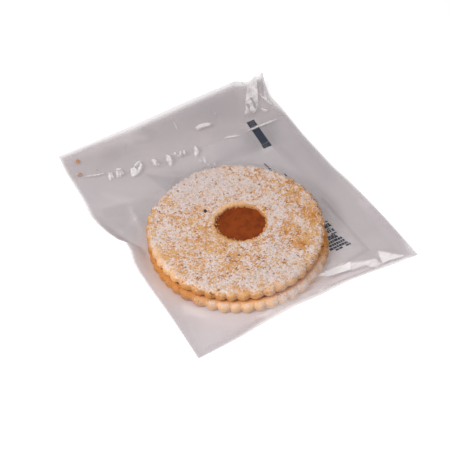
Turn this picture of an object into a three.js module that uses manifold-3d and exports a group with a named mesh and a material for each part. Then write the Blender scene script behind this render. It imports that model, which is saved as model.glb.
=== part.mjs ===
// A linzer cookie sealed in its clear film bag, lying flat: one soft pack.
//
// The bag is a flat pouch with a flap folded over and stuck down across its
// mouth. Two fluted biscuits with jam between them lie inside, pushed towards
// one corner, and the film is drawn down over them: flat over the top biscuit
// with a dimple over its jam hole, fluted where it clings to the rim, then
// falling in a skirt to the thin wings of the pouch. Beside the cookie the
// pouch's sides stand up a little from the surface, and one corner of the flap
// curls up.
//
// Millimetres, +Z up. The bag's length runs along X, from the folded end at -X
// to the closed end at +X. The origin is the middle of its footprint, on the
// surface that it lies on.
import * as THREE from "three";
import { mergeVertices } from "three/addons/utils/BufferGeometryUtils.js";
import Module from "manifold-3d";

const wasm = await Module();
wasm.setup();

// Driving dimensions.
const TOP_BISCUIT = { x: 25.4, y: -9.9, radius: 45, height: 12.6 };
const LOW_BISCUIT = { x: 27.9, y: -10.1, radius: 45, height: 6.2 };
const FLUTES = { count: 44, depth: 1.4, reach: 2.5 };
const HOLE = { x: 24.3, y: -6.8, radius: 13.1, sag: 1.3 };
const FILM = {
  edge: 0.5, // the two welded films at the pouch's rim
  loft: 1.6, // air between the films, away from the rim
  loftRun: 9, // how far in from the rim the loft takes to build up
  shoulderRun: 2.2, // the round turn at a biscuit's rim
  shoulderDrop: 0.9,
  skirtRun: 13, // from a biscuit's rim to the wing
  skirtPower: 2.2,
  creaseRun: 1.5, // how far in from the rim a crease, and the drape, take to start
  drapeRun: 3,
};
// The pouch's rim, anticlockwise from above: x, y, how high it stands up there,
// and how far in that lift reaches.
const RIM = [
  [79, -61.8, 0.2, 7], // corner of the closed end
  [78.8, -38, 1.3, 7],
  [78.6, -22, 3.4, 7],
  [78.5, -8, 4.4, 7],
  [78.6, 6, 3.6, 7],
  [78.8, 22, 4.4, 7],
  [79, 36, 2.8, 7],
  [79.2, 48, 0.9, 7],
  [79.6, 62.3, 0.3, 7], // the other corner of the closed end
  [49, 63, 0.3, 7],
  [20, 62.4, 0.3, 7],
  [5, 61.2, 0.4, 7],
  [-22, 61.3, 0.3, 7],
  [-44, 62.3, 0.6, 9],
  [-57, 61.8, 1.6, 14],
  [-66, 63.4, 4, 20],
  [-70.8, 64.9, 6.9, 24], // the corner that curls up
  [-74, 56.5, 2, 18],
  [-79.6, 50.8, 0.8, 10],
  [-79, 20, 0.6, 8],
  [-77, -20, 0.6, 8],
  [-76.3, -60.4, 0.4, 8], // corner of the folded end
  [-66.6, -61.8, 0.3, 8],
  [-40.4, -63.2, 0.3, 8],
  [-27.4, -64.9, 0.8, 8],
  [-20.2, -64.5, 1.4, 8],
  [-12, -63.4, 2.5, 8],
  [-3.7, -61.6, 4, 9],
  [2, -59.5, 5.8, 9],
  [7.5, -60, 5.4, 9],
  [13.3, -61.3, 3.2, 8],
  [20, -61.6, 1.8, 7],
  [31, -61.4, 0.8, 7],
  [50, -61.1, 0.4, 7],
];
const CORNERS = [0, 8, 16, 21];
const FOLDED_END = RIM.slice(16, 22).reverse(); // from -Y to +Y
// The flap: its cut edge runs across the front film through these points.
const FLAP = {
  cutEdge: [
    [-56, -62.3],
    [-50.2, -46.4],
    [-44.5, -40],
    [-40, -20],
    [-38.6, -8],
    [-41.2, 26],
    [-39.2, 62.3],
  ],
  thickness: 0.7,
  margin: 0.6, // from the flap's sides to the pouch's rim
  base: 0.5, // how far up its lower face is sunk between the pouch's two faces, as a share
  puckerRun: 8,
  puckerHeight: 0.9,
  puckerPitch: 7.2,
  puckersFrom: -46,
  puckersTo: 14,
  puckerFade: 8, // how far past its ends the row of puckers takes to die out
  // A standing fold that runs out to the corner that curls up.
  fold: { from: [-49, 43], to: [-73, 62], width: 3.2, heights: [0.6, 2.6] },
};
// Creases and folds in the front film: end points, half width, heights at the ends.
const CREASES = [
  { from: [66, 6], to: [68.6, 29], width: 1.7, heights: [0.9, 0.7] },
  { from: [68.6, 29], to: [73, 41], width: 1.7, heights: [0.7, 1.2] },
  { from: [70.3, 45], to: [78, 57], width: 1.5, heights: [3, 0.5] },
  { from: [-24.6, 42.4], to: [60, 42.4], width: 1.9, heights: [0.6, 0.6] },
  { from: [-37, -50], to: [-22, -40], width: 3.2, heights: [0.5, 1.2] },
  { from: [-9, -57], to: [-19, -30], width: 2.6, heights: [2, 1] },
  { from: [-42, -20], to: [-17, -14], width: 4.5, heights: [0.6, 1.8] },
];
// Slow waves in the wings: share of the loft, and millimetres to the radian.
const WAVES = [
  { share: 0.22, alongX: 11, alongY: 17 },
  { share: 0.18, alongX: -23, alongY: 9 },
];

// How the mesh is divided up. A share is of the way from a biscuit's rim, or from
// the cookie's middle, to the pouch's rim.
const STEPS_PER_FLUTE = 4;
const AROUND = FLUTES.count * STEPS_PER_FLUTE;
const DIMPLE_SHARE = 0.55; // a ring inside the dimple, as a share of its radius
const FLAT_SHARES = [0.42, 0.86]; // two rings on the flat, as shares of the biscuit's radius
const WING_SHARES = [0, 0.025, 0.07, 0.13, 0.21, 0.31, 0.43, 0.56, 0.68, 0.78, 0.86, 0.93, 0.97];
const UNDERSIDE_SHARES = [0.6, 0.82, 0.88, 0.93, 0.97]; // the first lies flat on the surface
const FLAP_ACROSS = 48;
const FLAP_ALONG = 10;
const FLAP_EASE = 0.8; // under 1, the rows of the flap lie closer towards its cut edge
const WELD = 1e-4; // points closer than this are one
const AT_MIDDLE = 1; // nearer the cookie's middle than this, there is no way to the rim
const TURN = 2 * Math.PI;
const CENTRE = [TOP_BISCUIT.x, TOP_BISCUIT.y];

const clamp01 = (v) => Math.min(1, Math.max(0, v));
const mix = (a, b, t) => a + (b - a) * t;
const bell = (v, spread) => Math.exp(-((v / spread) ** 2));
const smooth = (a, b, v) => {
  const t = clamp01((v - a) / (b - a));
  return t * t * (3 - 2 * t);
};

// How far a point is from the line between two points, and how far along it.
function alongLine(x, y, [x0, y0], [x1, y1]) {
  const [dx, dy] = [x1 - x0, y1 - y0];
  const t = clamp01(((x - x0) * dx + (y - y0) * dy) / (dx * dx + dy * dy));
  return { gap: Math.hypot(x - x0 - t * dx, y - y0 - t * dy), t };
}

// The height of a crease or fold at a point.
function ridge(x, y, { from, to, width, heights }) {
  const { gap, t } = alongLine(x, y, from, to);
  return mix(...heights, t) * bell(gap, width);
}

// The pouch's rim in the direction (dx, dy) from the middle of the cookie.
function rimTowards(dx, dy) {
  const [cx, cy] = CENTRE;
  for (let i = 0; i < RIM.length; i++) {
    const a = RIM[i];
    const b = RIM[(i + 1) % RIM.length];
    const [ax, ay, bx, by] = [a[0] - cx, a[1] - cy, b[0] - cx, b[1] - cy];
    const sideA = dx * ay - dy * ax;
    const sideB = dx * by - dy * bx;
    if (sideA > 0 || sideB <= 0) continue;
    const t = sideA / (sideA - sideB);
    const [x, y, lift, run] = a.map((value, k) => mix(value, b[k], t));
    return { x, y, lift, run };
  }
  throw new Error("the rim does not go all the way round the cookie");
}

// A place on the pouch: its distance from the rim, and the height of the underside.
function place(x, y) {
  const [dx, dy] = [x - CENTRE[0], y - CENTRE[1]];
  if (Math.hypot(dx, dy) < AT_MIDDLE) return { inset: TOP_BISCUIT.radius, under: 0 };
  const rim = rimTowards(dx, dy);
  const inset = Math.max(0, Math.hypot(rim.x - CENTRE[0], rim.y - CENTRE[1]) - Math.hypot(dx, dy));
  return { inset, under: rim.lift * (1 - smooth(0, rim.run, inset)) };
}

// The wings: the loft between the films, with its slow waves and its creases.
function wing(x, y, inset) {
  let waves = 1;
  for (const { share, alongX, alongY } of WAVES) waves += share * Math.sin(x / alongX + y / alongY);
  let z = FILM.loft * smooth(0, FILM.loftRun, inset) * waves;
  for (const crease of CREASES) z += ridge(x, y, crease) * smooth(0, FILM.creaseRun, inset);
  return z;
}

// One fluted disc felt through the film: flat top, round shoulder, then skirt.
function drape(x, y, disc, floor) {
  const angle = Math.atan2(y - disc.y, x - disc.x);
  const r = Math.hypot(x - disc.x, y - disc.y);
  const cling = 1 - smooth(0, FLUTES.reach, r - disc.radius);
  const out = r - disc.radius + FLUTES.depth * flute(angle) * cling;
  if (out <= -FILM.shoulderRun) return disc.height;
  if (out <= 0) return disc.height - FILM.shoulderDrop * (1 + out / FILM.shoulderRun) ** 2;
  const t = clamp01(out / FILM.skirtRun);
  return floor + (disc.height - FILM.shoulderDrop - floor) * (1 - t) ** FILM.skirtPower;
}

// How deep the notch between two flutes is at an angle: 0 on a lobe, 1 in a notch.
function flute(angle) {
  return 1 - Math.abs(Math.cos((FLUTES.count / 2) * angle));
}

// The outer face of the front film.
function frontFilm(x, y) {
  const { inset, under } = place(x, y);
  const floor = under + FILM.edge + wing(x, y, inset);
  const room = smooth(0, FILM.drapeRun, inset);
  const raised = Math.max(drape(x, y, TOP_BISCUIT, floor), drape(x, y, LOW_BISCUIT, floor));
  const inHole = Math.hypot(x - HOLE.x, y - HOLE.y) / HOLE.radius;
  return mix(floor, Math.max(floor, raised), room) - HOLE.sag * clamp01(1 - inHole ** 2);
}

// The rim sampled once for each step round the cookie, its corners kept sharp.
function rimSamples() {
  const samples = Array.from({ length: AROUND }, (_, j) => {
    const a = (TURN * j) / AROUND;
    return rimTowards(Math.cos(a), Math.sin(a));
  });
  for (const c of CORNERS) {
    const [x, y, lift, run] = RIM[c];
    const a = Math.atan2(y - CENTRE[1], x - CENTRE[0]);
    samples[(Math.round((a / TURN) * AROUND) + AROUND) % AROUND] = { x, y, lift, run };
  }
  return samples;
}

// A closed mesh, gathered as rings of points, each joined to the one before.
class Skin {
  constructor() {
    this.points = [];
    this.faces = [];
  }
  ring(list) {
    const first = this.points.length;
    this.points.push(...list);
    return { first, count: list.length };
  }
  // The outer ring has as many points as the inner one, or a multiple of them.
  join(inner, outer) {
    const ratio = outer.count / inner.count;
    const half = Math.ceil(ratio / 2);
    for (let i = 0; i < inner.count; i++) {
      const a = inner.first + i;
      const b = inner.first + ((i + 1) % inner.count);
      const out = (k) => outer.first + ((i * ratio + k) % outer.count);
      for (let k = 0; k < ratio; k++) this.faces.push([k < half ? a : b, out(k), out(k + 1)]);
      this.faces.push([a, out(half), b]);
    }
  }
  fan(centre, ring) {
    const c = this.points.push(centre) - 1;
    for (let i = 0; i < ring.count; i++)
      this.faces.push([c, ring.first + i, ring.first + ((i + 1) % ring.count)]);
  }
  flipFrom(start) {
    for (let i = start; i < this.faces.length; i++) this.faces[i].reverse();
  }
  geometry() {
    const g = new THREE.BufferGeometry();
    g.setAttribute("position", new THREE.Float32BufferAttribute(this.points.flat(), 3));
    g.setIndex(this.faces.flat());
    return g;
  }
}

// The pouch with the cookie's form in it.
function pouch() {
  const skin = new Skin();
  const rim = rimSamples();
  const onFilm = (x, y) => [x, y, frontFilm(x, y)];
  const { radius } = TOP_BISCUIT;
  // Round the jam hole and over the flat of the biscuit: radius, points, and the
  // share of the way from the hole's centre to the biscuit's.
  const circles = [
    [HOLE.radius * DIMPLE_SHARE, FLUTES.count, 0],
    [HOLE.radius, 2 * FLUTES.count, 0],
    [radius * FLAT_SHARES[0], 2 * FLUTES.count, 0.3],
    [radius * FLAT_SHARES[1], 2 * FLUTES.count, 1],
    [radius - FLUTES.depth - FILM.shoulderRun, AROUND, 1],
  ];
  const inner = circles.map(([r, count, shift]) =>
    skin.ring(
      Array.from({ length: count }, (_, j) => {
        const a = (TURN * j) / count;
        const cx = mix(HOLE.x, TOP_BISCUIT.x, shift);
        const cy = mix(HOLE.y, TOP_BISCUIT.y, shift);
        return onFilm(cx + r * Math.cos(a), cy + r * Math.sin(a));
      }),
    ),
  );
  skin.fan(onFilm(HOLE.x, HOLE.y), inner[0]);
  // The fluted rim itself, then the skirt and the wings out to the pouch's rim.
  const fluted = (j) => {
    const a = (TURN * j) / AROUND;
    const r = radius - FLUTES.depth * flute(a);
    return [CENTRE[0] + r * Math.cos(a), CENTRE[1] + r * Math.sin(a)];
  };
  const outer = WING_SHARES.map((t) =>
    skin.ring(rim.map((p, j) => onFilm(mix(fluted(j)[0], p.x, t), mix(fluted(j)[1], p.y, t)))),
  );
  const lip = skin.ring(rim.map((p) => [p.x, p.y, p.lift + FILM.edge]));
  const rings = [...inner, ...outer, lip];
  for (let i = 1; i < rings.length; i++) skin.join(rings[i - 1], rings[i]);
  // The underside, turned over so that it faces down.
  const start = skin.faces.length;
  const under = skin.ring(rim.map((p) => [p.x, p.y, p.lift]));
  const below = UNDERSIDE_SHARES.map((t, i) =>
    skin.ring(
      rim
        .filter((_, j) => i > 0 || j % STEPS_PER_FLUTE === 0)
        .map((p) => [mix(CENTRE[0], p.x, t), mix(CENTRE[1], p.y, t)])
        .map(([x, y]) => [x, y, i > 0 ? place(x, y).under : 0]),
    ),
  );
  skin.fan([...CENTRE, 0], below[0]);
  for (let i = 1; i < below.length; i++) skin.join(below[i - 1], below[i]);
  skin.join(below[below.length - 1], under);
  skin.flipFrom(start);
  skin.join(lip, under);
  return skin.geometry();
}

// Draws a place outside the flap's margin back to it.
function keepInside(x, y) {
  const [dx, dy] = [x - CENTRE[0], y - CENTRE[1]];
  const rim = rimTowards(dx, dy);
  const reach = Math.hypot(rim.x - CENTRE[0], rim.y - CENTRE[1]) - FLAP.margin;
  const back = Math.min(1, reach / Math.hypot(dx, dy));
  return [CENTRE[0] + dx * back, CENTRE[1] + dy * back];
}

// The place along X of a line through points in order of Y, for a place along Y.
function lineAt(points, y) {
  const i = Math.max(1, points.findIndex((p) => p[1] >= y));
  const [a, b] = [points[i - 1], points[i]];
  return mix(a[0], b[0], (y - a[1]) / (b[1] - a[1]));
}

// A place inside the ends of such a line: 0 at the first, 1 at the last.
function betweenEnds(points, s) {
  return mix(points[0][1] + FLAP.margin, points[points.length - 1][1] - FLAP.margin, s);
}

// The flap: a thin sheet on the front film, puckered along its cut edge.
function flap() {
  const skin = new Skin();
  const [across, along] = [FLAP_ACROSS, FLAP_ALONG];
  const row = (j, t, lower) => {
    const yFold = betweenEnds(FOLDED_END, j / across);
    const yCut = betweenEnds(FLAP.cutEdge, j / across);
    const fold = [lineAt(FOLDED_END, yFold), yFold];
    const cut = [lineAt(FLAP.cutEdge, yCut), yCut];
    const [x, y] = keepInside(mix(fold[0], cut[0], t), mix(fold[1], cut[1], t));
    if (lower) return [x, y, mix(place(x, y).under, frontFilm(x, y), FLAP.base)];
    const pucker =
      FLAP.puckerHeight *
      Math.abs(Math.sin((Math.PI * y) / FLAP.puckerPitch)) *
      smooth(FLAP.puckerRun, 0, cut[0] - x) *
      smooth(FLAP.puckersFrom - FLAP.puckerFade, FLAP.puckersFrom, y) *
      smooth(FLAP.puckersTo + FLAP.puckerFade, FLAP.puckersTo, y);
    return [x, y, frontFilm(x, y) + FLAP.thickness + pucker + ridge(x, y, FLAP.fold)];
  };
  const columns = (lower) =>
    Array.from({ length: along + 1 }, (_, i) =>
      Array.from({ length: across + 1 }, (_, j) => row(j, (i / along) ** FLAP_EASE, lower)),
    );
  const sheets = [columns(true), columns(false)].map((cols) => cols.map((col) => skin.ring(col)));
  const at = (layer, i, j) => sheets[layer][i].first + j;
  const quad = (a, b, c, d) => skin.faces.push([a, b, c], [a, c, d]);
  for (let i = 0; i < along; i++)
    for (let j = 0; j < across; j++) {
      quad(at(1, i, j), at(1, i + 1, j), at(1, i + 1, j + 1), at(1, i, j + 1));
      quad(at(0, i, j), at(0, i, j + 1), at(0, i + 1, j + 1), at(0, i + 1, j));
    }
  for (let i = 0; i < along; i++) {
    quad(at(0, i, 0), at(0, i + 1, 0), at(1, i + 1, 0), at(1, i, 0));
    quad(at(0, i + 1, across), at(0, i, across), at(1, i, across), at(1, i + 1, across));
  }
  for (let j = 0; j < across; j++) {
    quad(at(0, 0, j + 1), at(0, 0, j), at(1, 0, j), at(1, 0, j + 1));
    quad(at(0, along, j), at(0, along, j + 1), at(1, along, j + 1), at(1, along, j));
  }
  return skin.geometry();
}

// A closed mesh as a solid that can be joined to another, and back.
function solidOf(geometry) {
  const merged = mergeVertices(geometry, WELD);
  return new wasm.Manifold(
    new wasm.Mesh({
      numProp: 3,
      vertProperties: new Float32Array(merged.attributes.position.array),
      triVerts: new Uint32Array(merged.index.array),
    }),
  );
}

function geometryOf(solid) {
  const { vertProperties, triVerts } = solid.getMesh();
  const g = new THREE.BufferGeometry();
  g.setAttribute("position", new THREE.Float32BufferAttribute(vertProperties, 3));
  g.setIndex([...triVerts]);
  g.computeVertexNormals();
  return g;
}

// The outermost shell alone, so that no pocket stays shut between the two.
function outerShell(solid) {
  return solid.decompose().reduce((a, b) => (b.volume() > a.volume() ? b : a));
}

const film = new THREE.MeshStandardMaterial({ color: 0xcbc4c4, roughness: 0.22, metalness: 0 });
const joined = solidOf(pouch()).add(solidOf(flap()));
const bag = new THREE.Mesh(geometryOf(outerShell(joined)), film);
bag.name = "sealed_bag";

const pack = new THREE.Group();
pack.add(bag);

export default pack;
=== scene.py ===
# %% [markdown]
# # A linzer cookie in its clear bag
#
# Two fluted shortbread biscuits with jam between them, dusted with icing
# sugar, lie sealed in a soft clear bag. The bag is a flat pouch of thin film
# with a flap folded over its mouth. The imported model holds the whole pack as
# one solid, so every piece below stands for that solid: film outside, food
# inside.

import math

import bpy
import numpy as np
from mathutils import Matrix, Vector, noise


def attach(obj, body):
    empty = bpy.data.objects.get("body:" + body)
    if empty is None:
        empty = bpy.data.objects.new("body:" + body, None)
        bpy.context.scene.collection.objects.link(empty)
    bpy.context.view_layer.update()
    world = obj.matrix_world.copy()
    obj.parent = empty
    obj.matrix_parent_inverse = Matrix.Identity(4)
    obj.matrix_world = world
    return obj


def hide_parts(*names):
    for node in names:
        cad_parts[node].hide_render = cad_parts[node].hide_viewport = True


MM = 0.001
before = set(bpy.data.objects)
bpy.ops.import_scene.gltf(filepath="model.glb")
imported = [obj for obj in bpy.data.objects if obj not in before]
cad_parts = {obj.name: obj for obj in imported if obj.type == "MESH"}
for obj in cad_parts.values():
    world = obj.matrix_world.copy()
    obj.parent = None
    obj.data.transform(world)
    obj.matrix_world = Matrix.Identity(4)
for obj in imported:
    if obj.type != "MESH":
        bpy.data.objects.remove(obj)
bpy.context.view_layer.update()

# %% [markdown]
# ## Camera
#
# The camera looks down on the bag from the closed end, with a long lens. Its
# frame is built from where it stands, the point it looks at and a small roll,
# which is easier to read than three Euler angles.

# %% Camera
scene = bpy.context.scene
scene.view_settings.view_transform = "Standard"

EYE = Vector((373.16, -211.10, 446.86)) * MM
AIM = Vector((12.68, -8.82, 0)) * MM
ROLL = math.radians(-1.41)
LENS = 96

forward = (AIM - EYE).normalized()
level = forward.cross(Vector((0, 0, 1))).normalized()
rise = level.cross(forward)
right = level * math.cos(ROLL) + rise * math.sin(ROLL)
up = rise * math.cos(ROLL) - level * math.sin(ROLL)
bpy.ops.object.camera_add(location=EYE)
camera = bpy.context.active_object
camera.data.lens = LENS
camera.data.clip_start = 10 * MM
camera.matrix_world = Matrix.Translation(EYE) @ Matrix((right, up, -forward)).transposed().to_4x4()
scene.camera = camera
print("camera distance, mm:", round((AIM - EYE).length / MM))

# %% [markdown]
# ## Light and floor
#
# Film shows itself mostly by what it reflects. A softbox low on the near side
# models the food and throws its soft shadow away from the camera, a wide one
# overhead fills the shadows and lights the creases, and a dim even surround
# does the rest. The floor glows a little, like a light table, to stay white.


# %% Lights
def softbox(name, place, size, power):
    """A square light that faces the origin."""
    place = Vector(place) * MM
    bpy.ops.object.light_add(type="AREA", location=place)
    lamp = bpy.context.active_object
    lamp.name = name
    lamp.data.shape = "SQUARE"
    lamp.data.size = size * MM
    lamp.data.energy = power
    lamp.rotation_mode = "QUATERNION"
    lamp.rotation_quaternion = (-place).to_track_quat("-Z", "Y")


softbox("key", (80, -350, 430), 260, 2.0)
softbox("overhead", (210, 60, 600), 480, 1.2)

world = bpy.data.worlds.new("surround")
world.use_nodes = True
world.node_tree.nodes["Background"].inputs["Color"].default_value = (1.0, 0.99, 0.99, 1)
world.node_tree.nodes["Background"].inputs["Strength"].default_value = 0.24
scene.world = world


# %% Floor
def material_nodes(name):
    material = bpy.data.materials.new(name)
    material.use_nodes = True
    tree = material.node_tree
    tree.nodes.clear()
    return material, tree


def add_node(tree, kind, **values):
    node = tree.nodes.new("ShaderNode" + kind)
    for key, value in values.items():
        if key in node.inputs:
            node.inputs[key].default_value = value
        else:
            setattr(node, key, value)
    return node


def principled(tree, colour, roughness, **values):
    shader = add_node(tree, "BsdfPrincipled")
    shader.inputs["Base Color"].default_value = (*colour, 1)
    shader.inputs["Roughness"].default_value = roughness
    for key, value in values.items():
        shader.inputs[key.replace("_", " ")].default_value = value
    return shader


def finish_material(tree, shader):
    output = tree.nodes.new("ShaderNodeOutputMaterial")
    tree.links.new(shader.outputs[0], output.inputs["Surface"])


bpy.ops.object.select_all(action="DESELECT")
bpy.ops.mesh.primitive_plane_add(size=4, location=(0, 0, -0.1 * MM))
floor = bpy.context.active_object
floor.name = "floor"
floor_paint, tree = material_nodes("floor_paint")
FLOOR_GLOW = 0.6
finish_material(
    tree, principled(tree, (0.62, 0.61, 0.61), 0.9, Emission_Color=(1, 1, 1, 1), Emission_Strength=FLOOR_GLOW)
)
floor.data.materials.append(floor_paint)

# %% [markdown]
# ## The pouch as a height above the table
#
# A bag lying flat never folds under itself here, so each of its films is one
# height for each place on the table. The pouch's rim is known point by point,
# as a soft bag has no regular outline. Inside it the film lies on whichever
# is highest: the thin wing of the pouch, or the skirt that it makes as it
# comes down from a biscuit. All of these are in millimetres.

# %% The forms that the film follows
TOP_BISCUIT = {"x": 25.4, "y": -9.9, "radius": 45, "height": 12.6}
LOW_BISCUIT = {"x": 27.9, "y": -10.1, "radius": 45, "height": 6.2}
CENTRE = np.array([TOP_BISCUIT["x"], TOP_BISCUIT["y"]])
FLUTES = 44
HOLE = {"x": 24.3, "y": -6.8, "radius": 13.1, "sag": 1.3}

# The rim, anticlockwise from above: x, y, how high it stands up, how far in that reaches.
CLOSED_END = [
    (79, -61.8, 0.2, 7), (78.8, -38, 1.3, 7), (78.6, -22, 3.4, 7), (78.5, -8, 4.4, 7), (78.6, 6, 3.6, 7),
    (78.8, 22, 4.4, 7), (79, 36, 2.8, 7), (79.2, 48, 0.9, 7), (79.6, 62.3, 0.3, 7),
]
FAR_SIDE = [
    (79.6, 62.3, 0.3, 7), (49, 63, 0.3, 7), (20, 62.4, 0.3, 7), (5, 61.2, 0.4, 7), (-22, 61.3, 0.3, 7),
    (-44, 62.3, 0.6, 9), (-57, 61.8, 1.6, 14), (-66, 63.4, 4, 20), (-70.8, 64.9, 6.9, 24),
]
FOLDED_END = [
    (-70.8, 64.9, 6.9, 24), (-74, 56.5, 2, 18), (-79.6, 50.8, 0.8, 10), (-79, 20, 0.6, 8),
    (-77, -20, 0.6, 8), (-76.3, -60.4, 0.4, 8),
]
NEAR_SIDE = [
    (-76.3, -60.4, 0.4, 8), (-66.6, -61.8, 0.3, 8), (-40.4, -63.2, 0.3, 8), (-27.4, -64.9, 0.8, 8),
    (-20.2, -64.5, 1.4, 8), (-12, -63.4, 2.5, 8), (-3.7, -61.6, 4, 9), (2, -59.5, 5.8, 9),
    (7.5, -60, 5.4, 9), (13.3, -61.3, 3.2, 8), (20, -61.6, 1.8, 7), (31, -61.4, 0.8, 7),
    (50, -61.1, 0.4, 7), (79, -61.8, 0.2, 7),
]
RIM = CLOSED_END[:-1] + FAR_SIDE[:-1] + FOLDED_END[:-1] + NEAR_SIDE[:-1]
print("points round the rim:", len(RIM))


# %% Small measures used by every form
def smooth(a, b, v):
    t = np.clip((v - a) / (b - a), 0, 1)
    return t * t * (3 - 2 * t)


def bell(v, spread):
    return np.exp(-((v / spread) ** 2))


def from_middle(x, y):
    """How far each place is from the cookie's middle."""
    return np.hypot(x - CENTRE[0], y - CENTRE[1])


def beyond(x, y, disc):
    """How far each place lies outside a disc's edge. Inside it that is below zero."""
    return np.hypot(x - disc["x"], y - disc["y"]) - disc["radius"]


def rim_towards(x, y):
    """The rim's x, y, lift and run in the direction of each place from the cookie's middle."""
    dx, dy = x - CENTRE[0], y - CENTRE[1]
    found = np.zeros((4,) + x.shape)
    for a, b in zip(RIM, RIM[1:] + RIM[:1]):
        side_a = dx * (a[1] - CENTRE[1]) - dy * (a[0] - CENTRE[0])
        side_b = dx * (b[1] - CENTRE[1]) - dy * (b[0] - CENTRE[0])
        hit = (side_a <= 0) & (side_b > 0)
        t = side_a[hit] / (side_a[hit] - side_b[hit])
        for k in range(4):
            found[k][hit] = a[k] + (b[k] - a[k]) * t
    return found


def inset_and_under(x, y):
    """How far inside the rim each place is, and how high the pouch's underside is there."""
    rim_x, rim_y, lift, run = rim_towards(x, y)
    inset = np.maximum(0, from_middle(rim_x, rim_y) - from_middle(x, y))
    return inset, lift * (1 - smooth(0, np.maximum(run, 1), inset))


def line_gap(x, y, start, end):
    """The distance of each place from a line between two points, and its share along it."""
    dx, dy = end[0] - start[0], end[1] - start[1]
    t = np.clip(((x - start[0]) * dx + (y - start[1]) * dy) / (dx * dx + dy * dy), 0, 1)
    return np.hypot(x - start[0] - t * dx, y - start[1] - t * dy), t


def ridge(x, y, start, end, width, low, high):
    gap, t = line_gap(x, y, start, end)
    return (low + (high - low) * t) * bell(gap, width)


# %% The front film's height
FILM_EDGE = 0.5
LOFT = 1.6
LOFT_RUN = 9
SHOULDER_RUN = 2.2
SHOULDER_DROP = 0.9
SKIRT_RUN = 13
SKIRT_POWER = 2.2
FLUTE_DEPTH = 0.8
FLUTE_REACH = 2.5

# Folds in the front film: from, to, half width, height at each end. A furrow's height is below zero.
FOLDS = [
    ((66, 6), (68.6, 29), 1.7, 0.9, 0.7),
    ((68.6, 29), (73, 41), 1.7, 0.7, 1.2),
    ((70.3, 45), (78, 57), 1.5, 3.0, 0.5),
    ((-24.6, 42.4), (60, 42.4), 1.9, 0.6, 0.6),
    ((-37, -50), (-22, -40), 3.2, 0.5, 1.2),
    ((-9, -57), (-19, -30), 2.6, 2, 1),
    ((-42, -20), (-17, -14), 4.5, 0.6, 1.8),
    ((-38.6, -27), (-27, -17), 2.0, -0.5, -0.9),
    ((-27, -17), (-24, 5), 2.0, -0.9, -0.5),
    ((-28.5, -57.8), (-23, -40), 1.6, -0.7, -0.9),
    ((-21.6, -44.8), (0, -48.6), 1.4, 0.6, 0.9),
]


def flute(angle):
    """0 on a lobe, 1 in the notch between two."""
    return 1 - np.abs(np.cos(FLUTES / 2 * angle))


def drape(x, y, disc, ground):
    angle = np.arctan2(y - disc["y"], x - disc["x"])
    past_edge = beyond(x, y, disc)
    cling = 1 - smooth(0, FLUTE_REACH, past_edge)
    out = past_edge + FLUTE_DEPTH * flute(angle) * cling
    shoulder = disc["height"] - SHOULDER_DROP * np.clip(1 + out / SHOULDER_RUN, 0, 1) ** 2
    fall = (1 - np.clip(out / SKIRT_RUN, 0, 1)) ** SKIRT_POWER
    skirt = ground + (disc["height"] - SHOULDER_DROP - ground) * fall
    return np.where(out <= 0, shoulder, skirt)


def front_film(x, y):
    inset, under = inset_and_under(x, y)
    waves = 1 + 0.22 * np.sin(x / 11 + y / 17) + 0.18 * np.sin(y / 9 - x / 23)
    ground = under + FILM_EDGE + LOFT * smooth(0, LOFT_RUN, inset) * waves
    for fold in FOLDS:
        ground = ground + ridge(x, y, *fold) * smooth(0, 1.5, inset)
    raised = np.maximum(drape(x, y, TOP_BISCUIT, ground), drape(x, y, LOW_BISCUIT, ground))
    z = ground + (np.maximum(ground, raised) - ground) * smooth(0, 3, inset)
    in_hole = np.hypot(x - HOLE["x"], y - HOLE["y"]) / HOLE["radius"]
    return z - HOLE["sag"] * np.clip(1 - in_hole**2, 0, 1)


print("film over the biscuit, mm:", round(float(front_film(np.array([50.0]), np.array([-10.0]))[0]), 2))


# %% [markdown]
# ## The biscuits
#
# A linzer biscuit is cut with a fluted ring, so its edge is a row of small
# lobes, which the oven rounds until they look like beads. The quickest true
# form is a section, spun round the middle, with as many steps for each lobe
# as its curve needs. The lobes are then pressed in by a rule, and the crumb
# comes from Displace modifiers, from broad swells down to single grains.

# %% Helpers for shaping pieces
FLUTE_STEPS = 14
AROUND = FLUTES * FLUTE_STEPS


def points_of(piece):
    """A piece's vertices in millimetres."""
    flat = np.empty(len(piece.data.vertices) * 3)
    piece.data.vertices.foreach_get("co", flat)
    return flat.reshape(-1, 3) / MM


def set_points(piece, points):
    piece.data.vertices.foreach_set("co", (np.asarray(points) * MM).ravel())
    piece.data.update()


def polar(points, centre):
    """Points as seen from a centre: x, y, radius, and angle in radians."""
    x, y = points[:, 0] - centre[0], points[:, 1] - centre[1]
    return x, y, np.hypot(x, y), np.arctan2(y, x)


def set_attribute(piece, name, values):
    attribute = piece.data.attributes.new(name, "FLOAT", "POINT")
    attribute.data.foreach_set("value", np.asarray(values, np.float32))


def alone(piece):
    bpy.ops.object.select_all(action="DESELECT")
    piece.select_set(True)
    bpy.context.view_layer.objects.active = piece


def dress_smooth(piece, material):
    """Gives a piece its one finish, and smooth shading."""
    piece.data.materials.append(material)
    alone(piece)
    bpy.ops.object.shade_smooth()


def added(name):
    piece = bpy.context.active_object
    piece.name = name
    piece.data.name = name
    return piece


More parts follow.
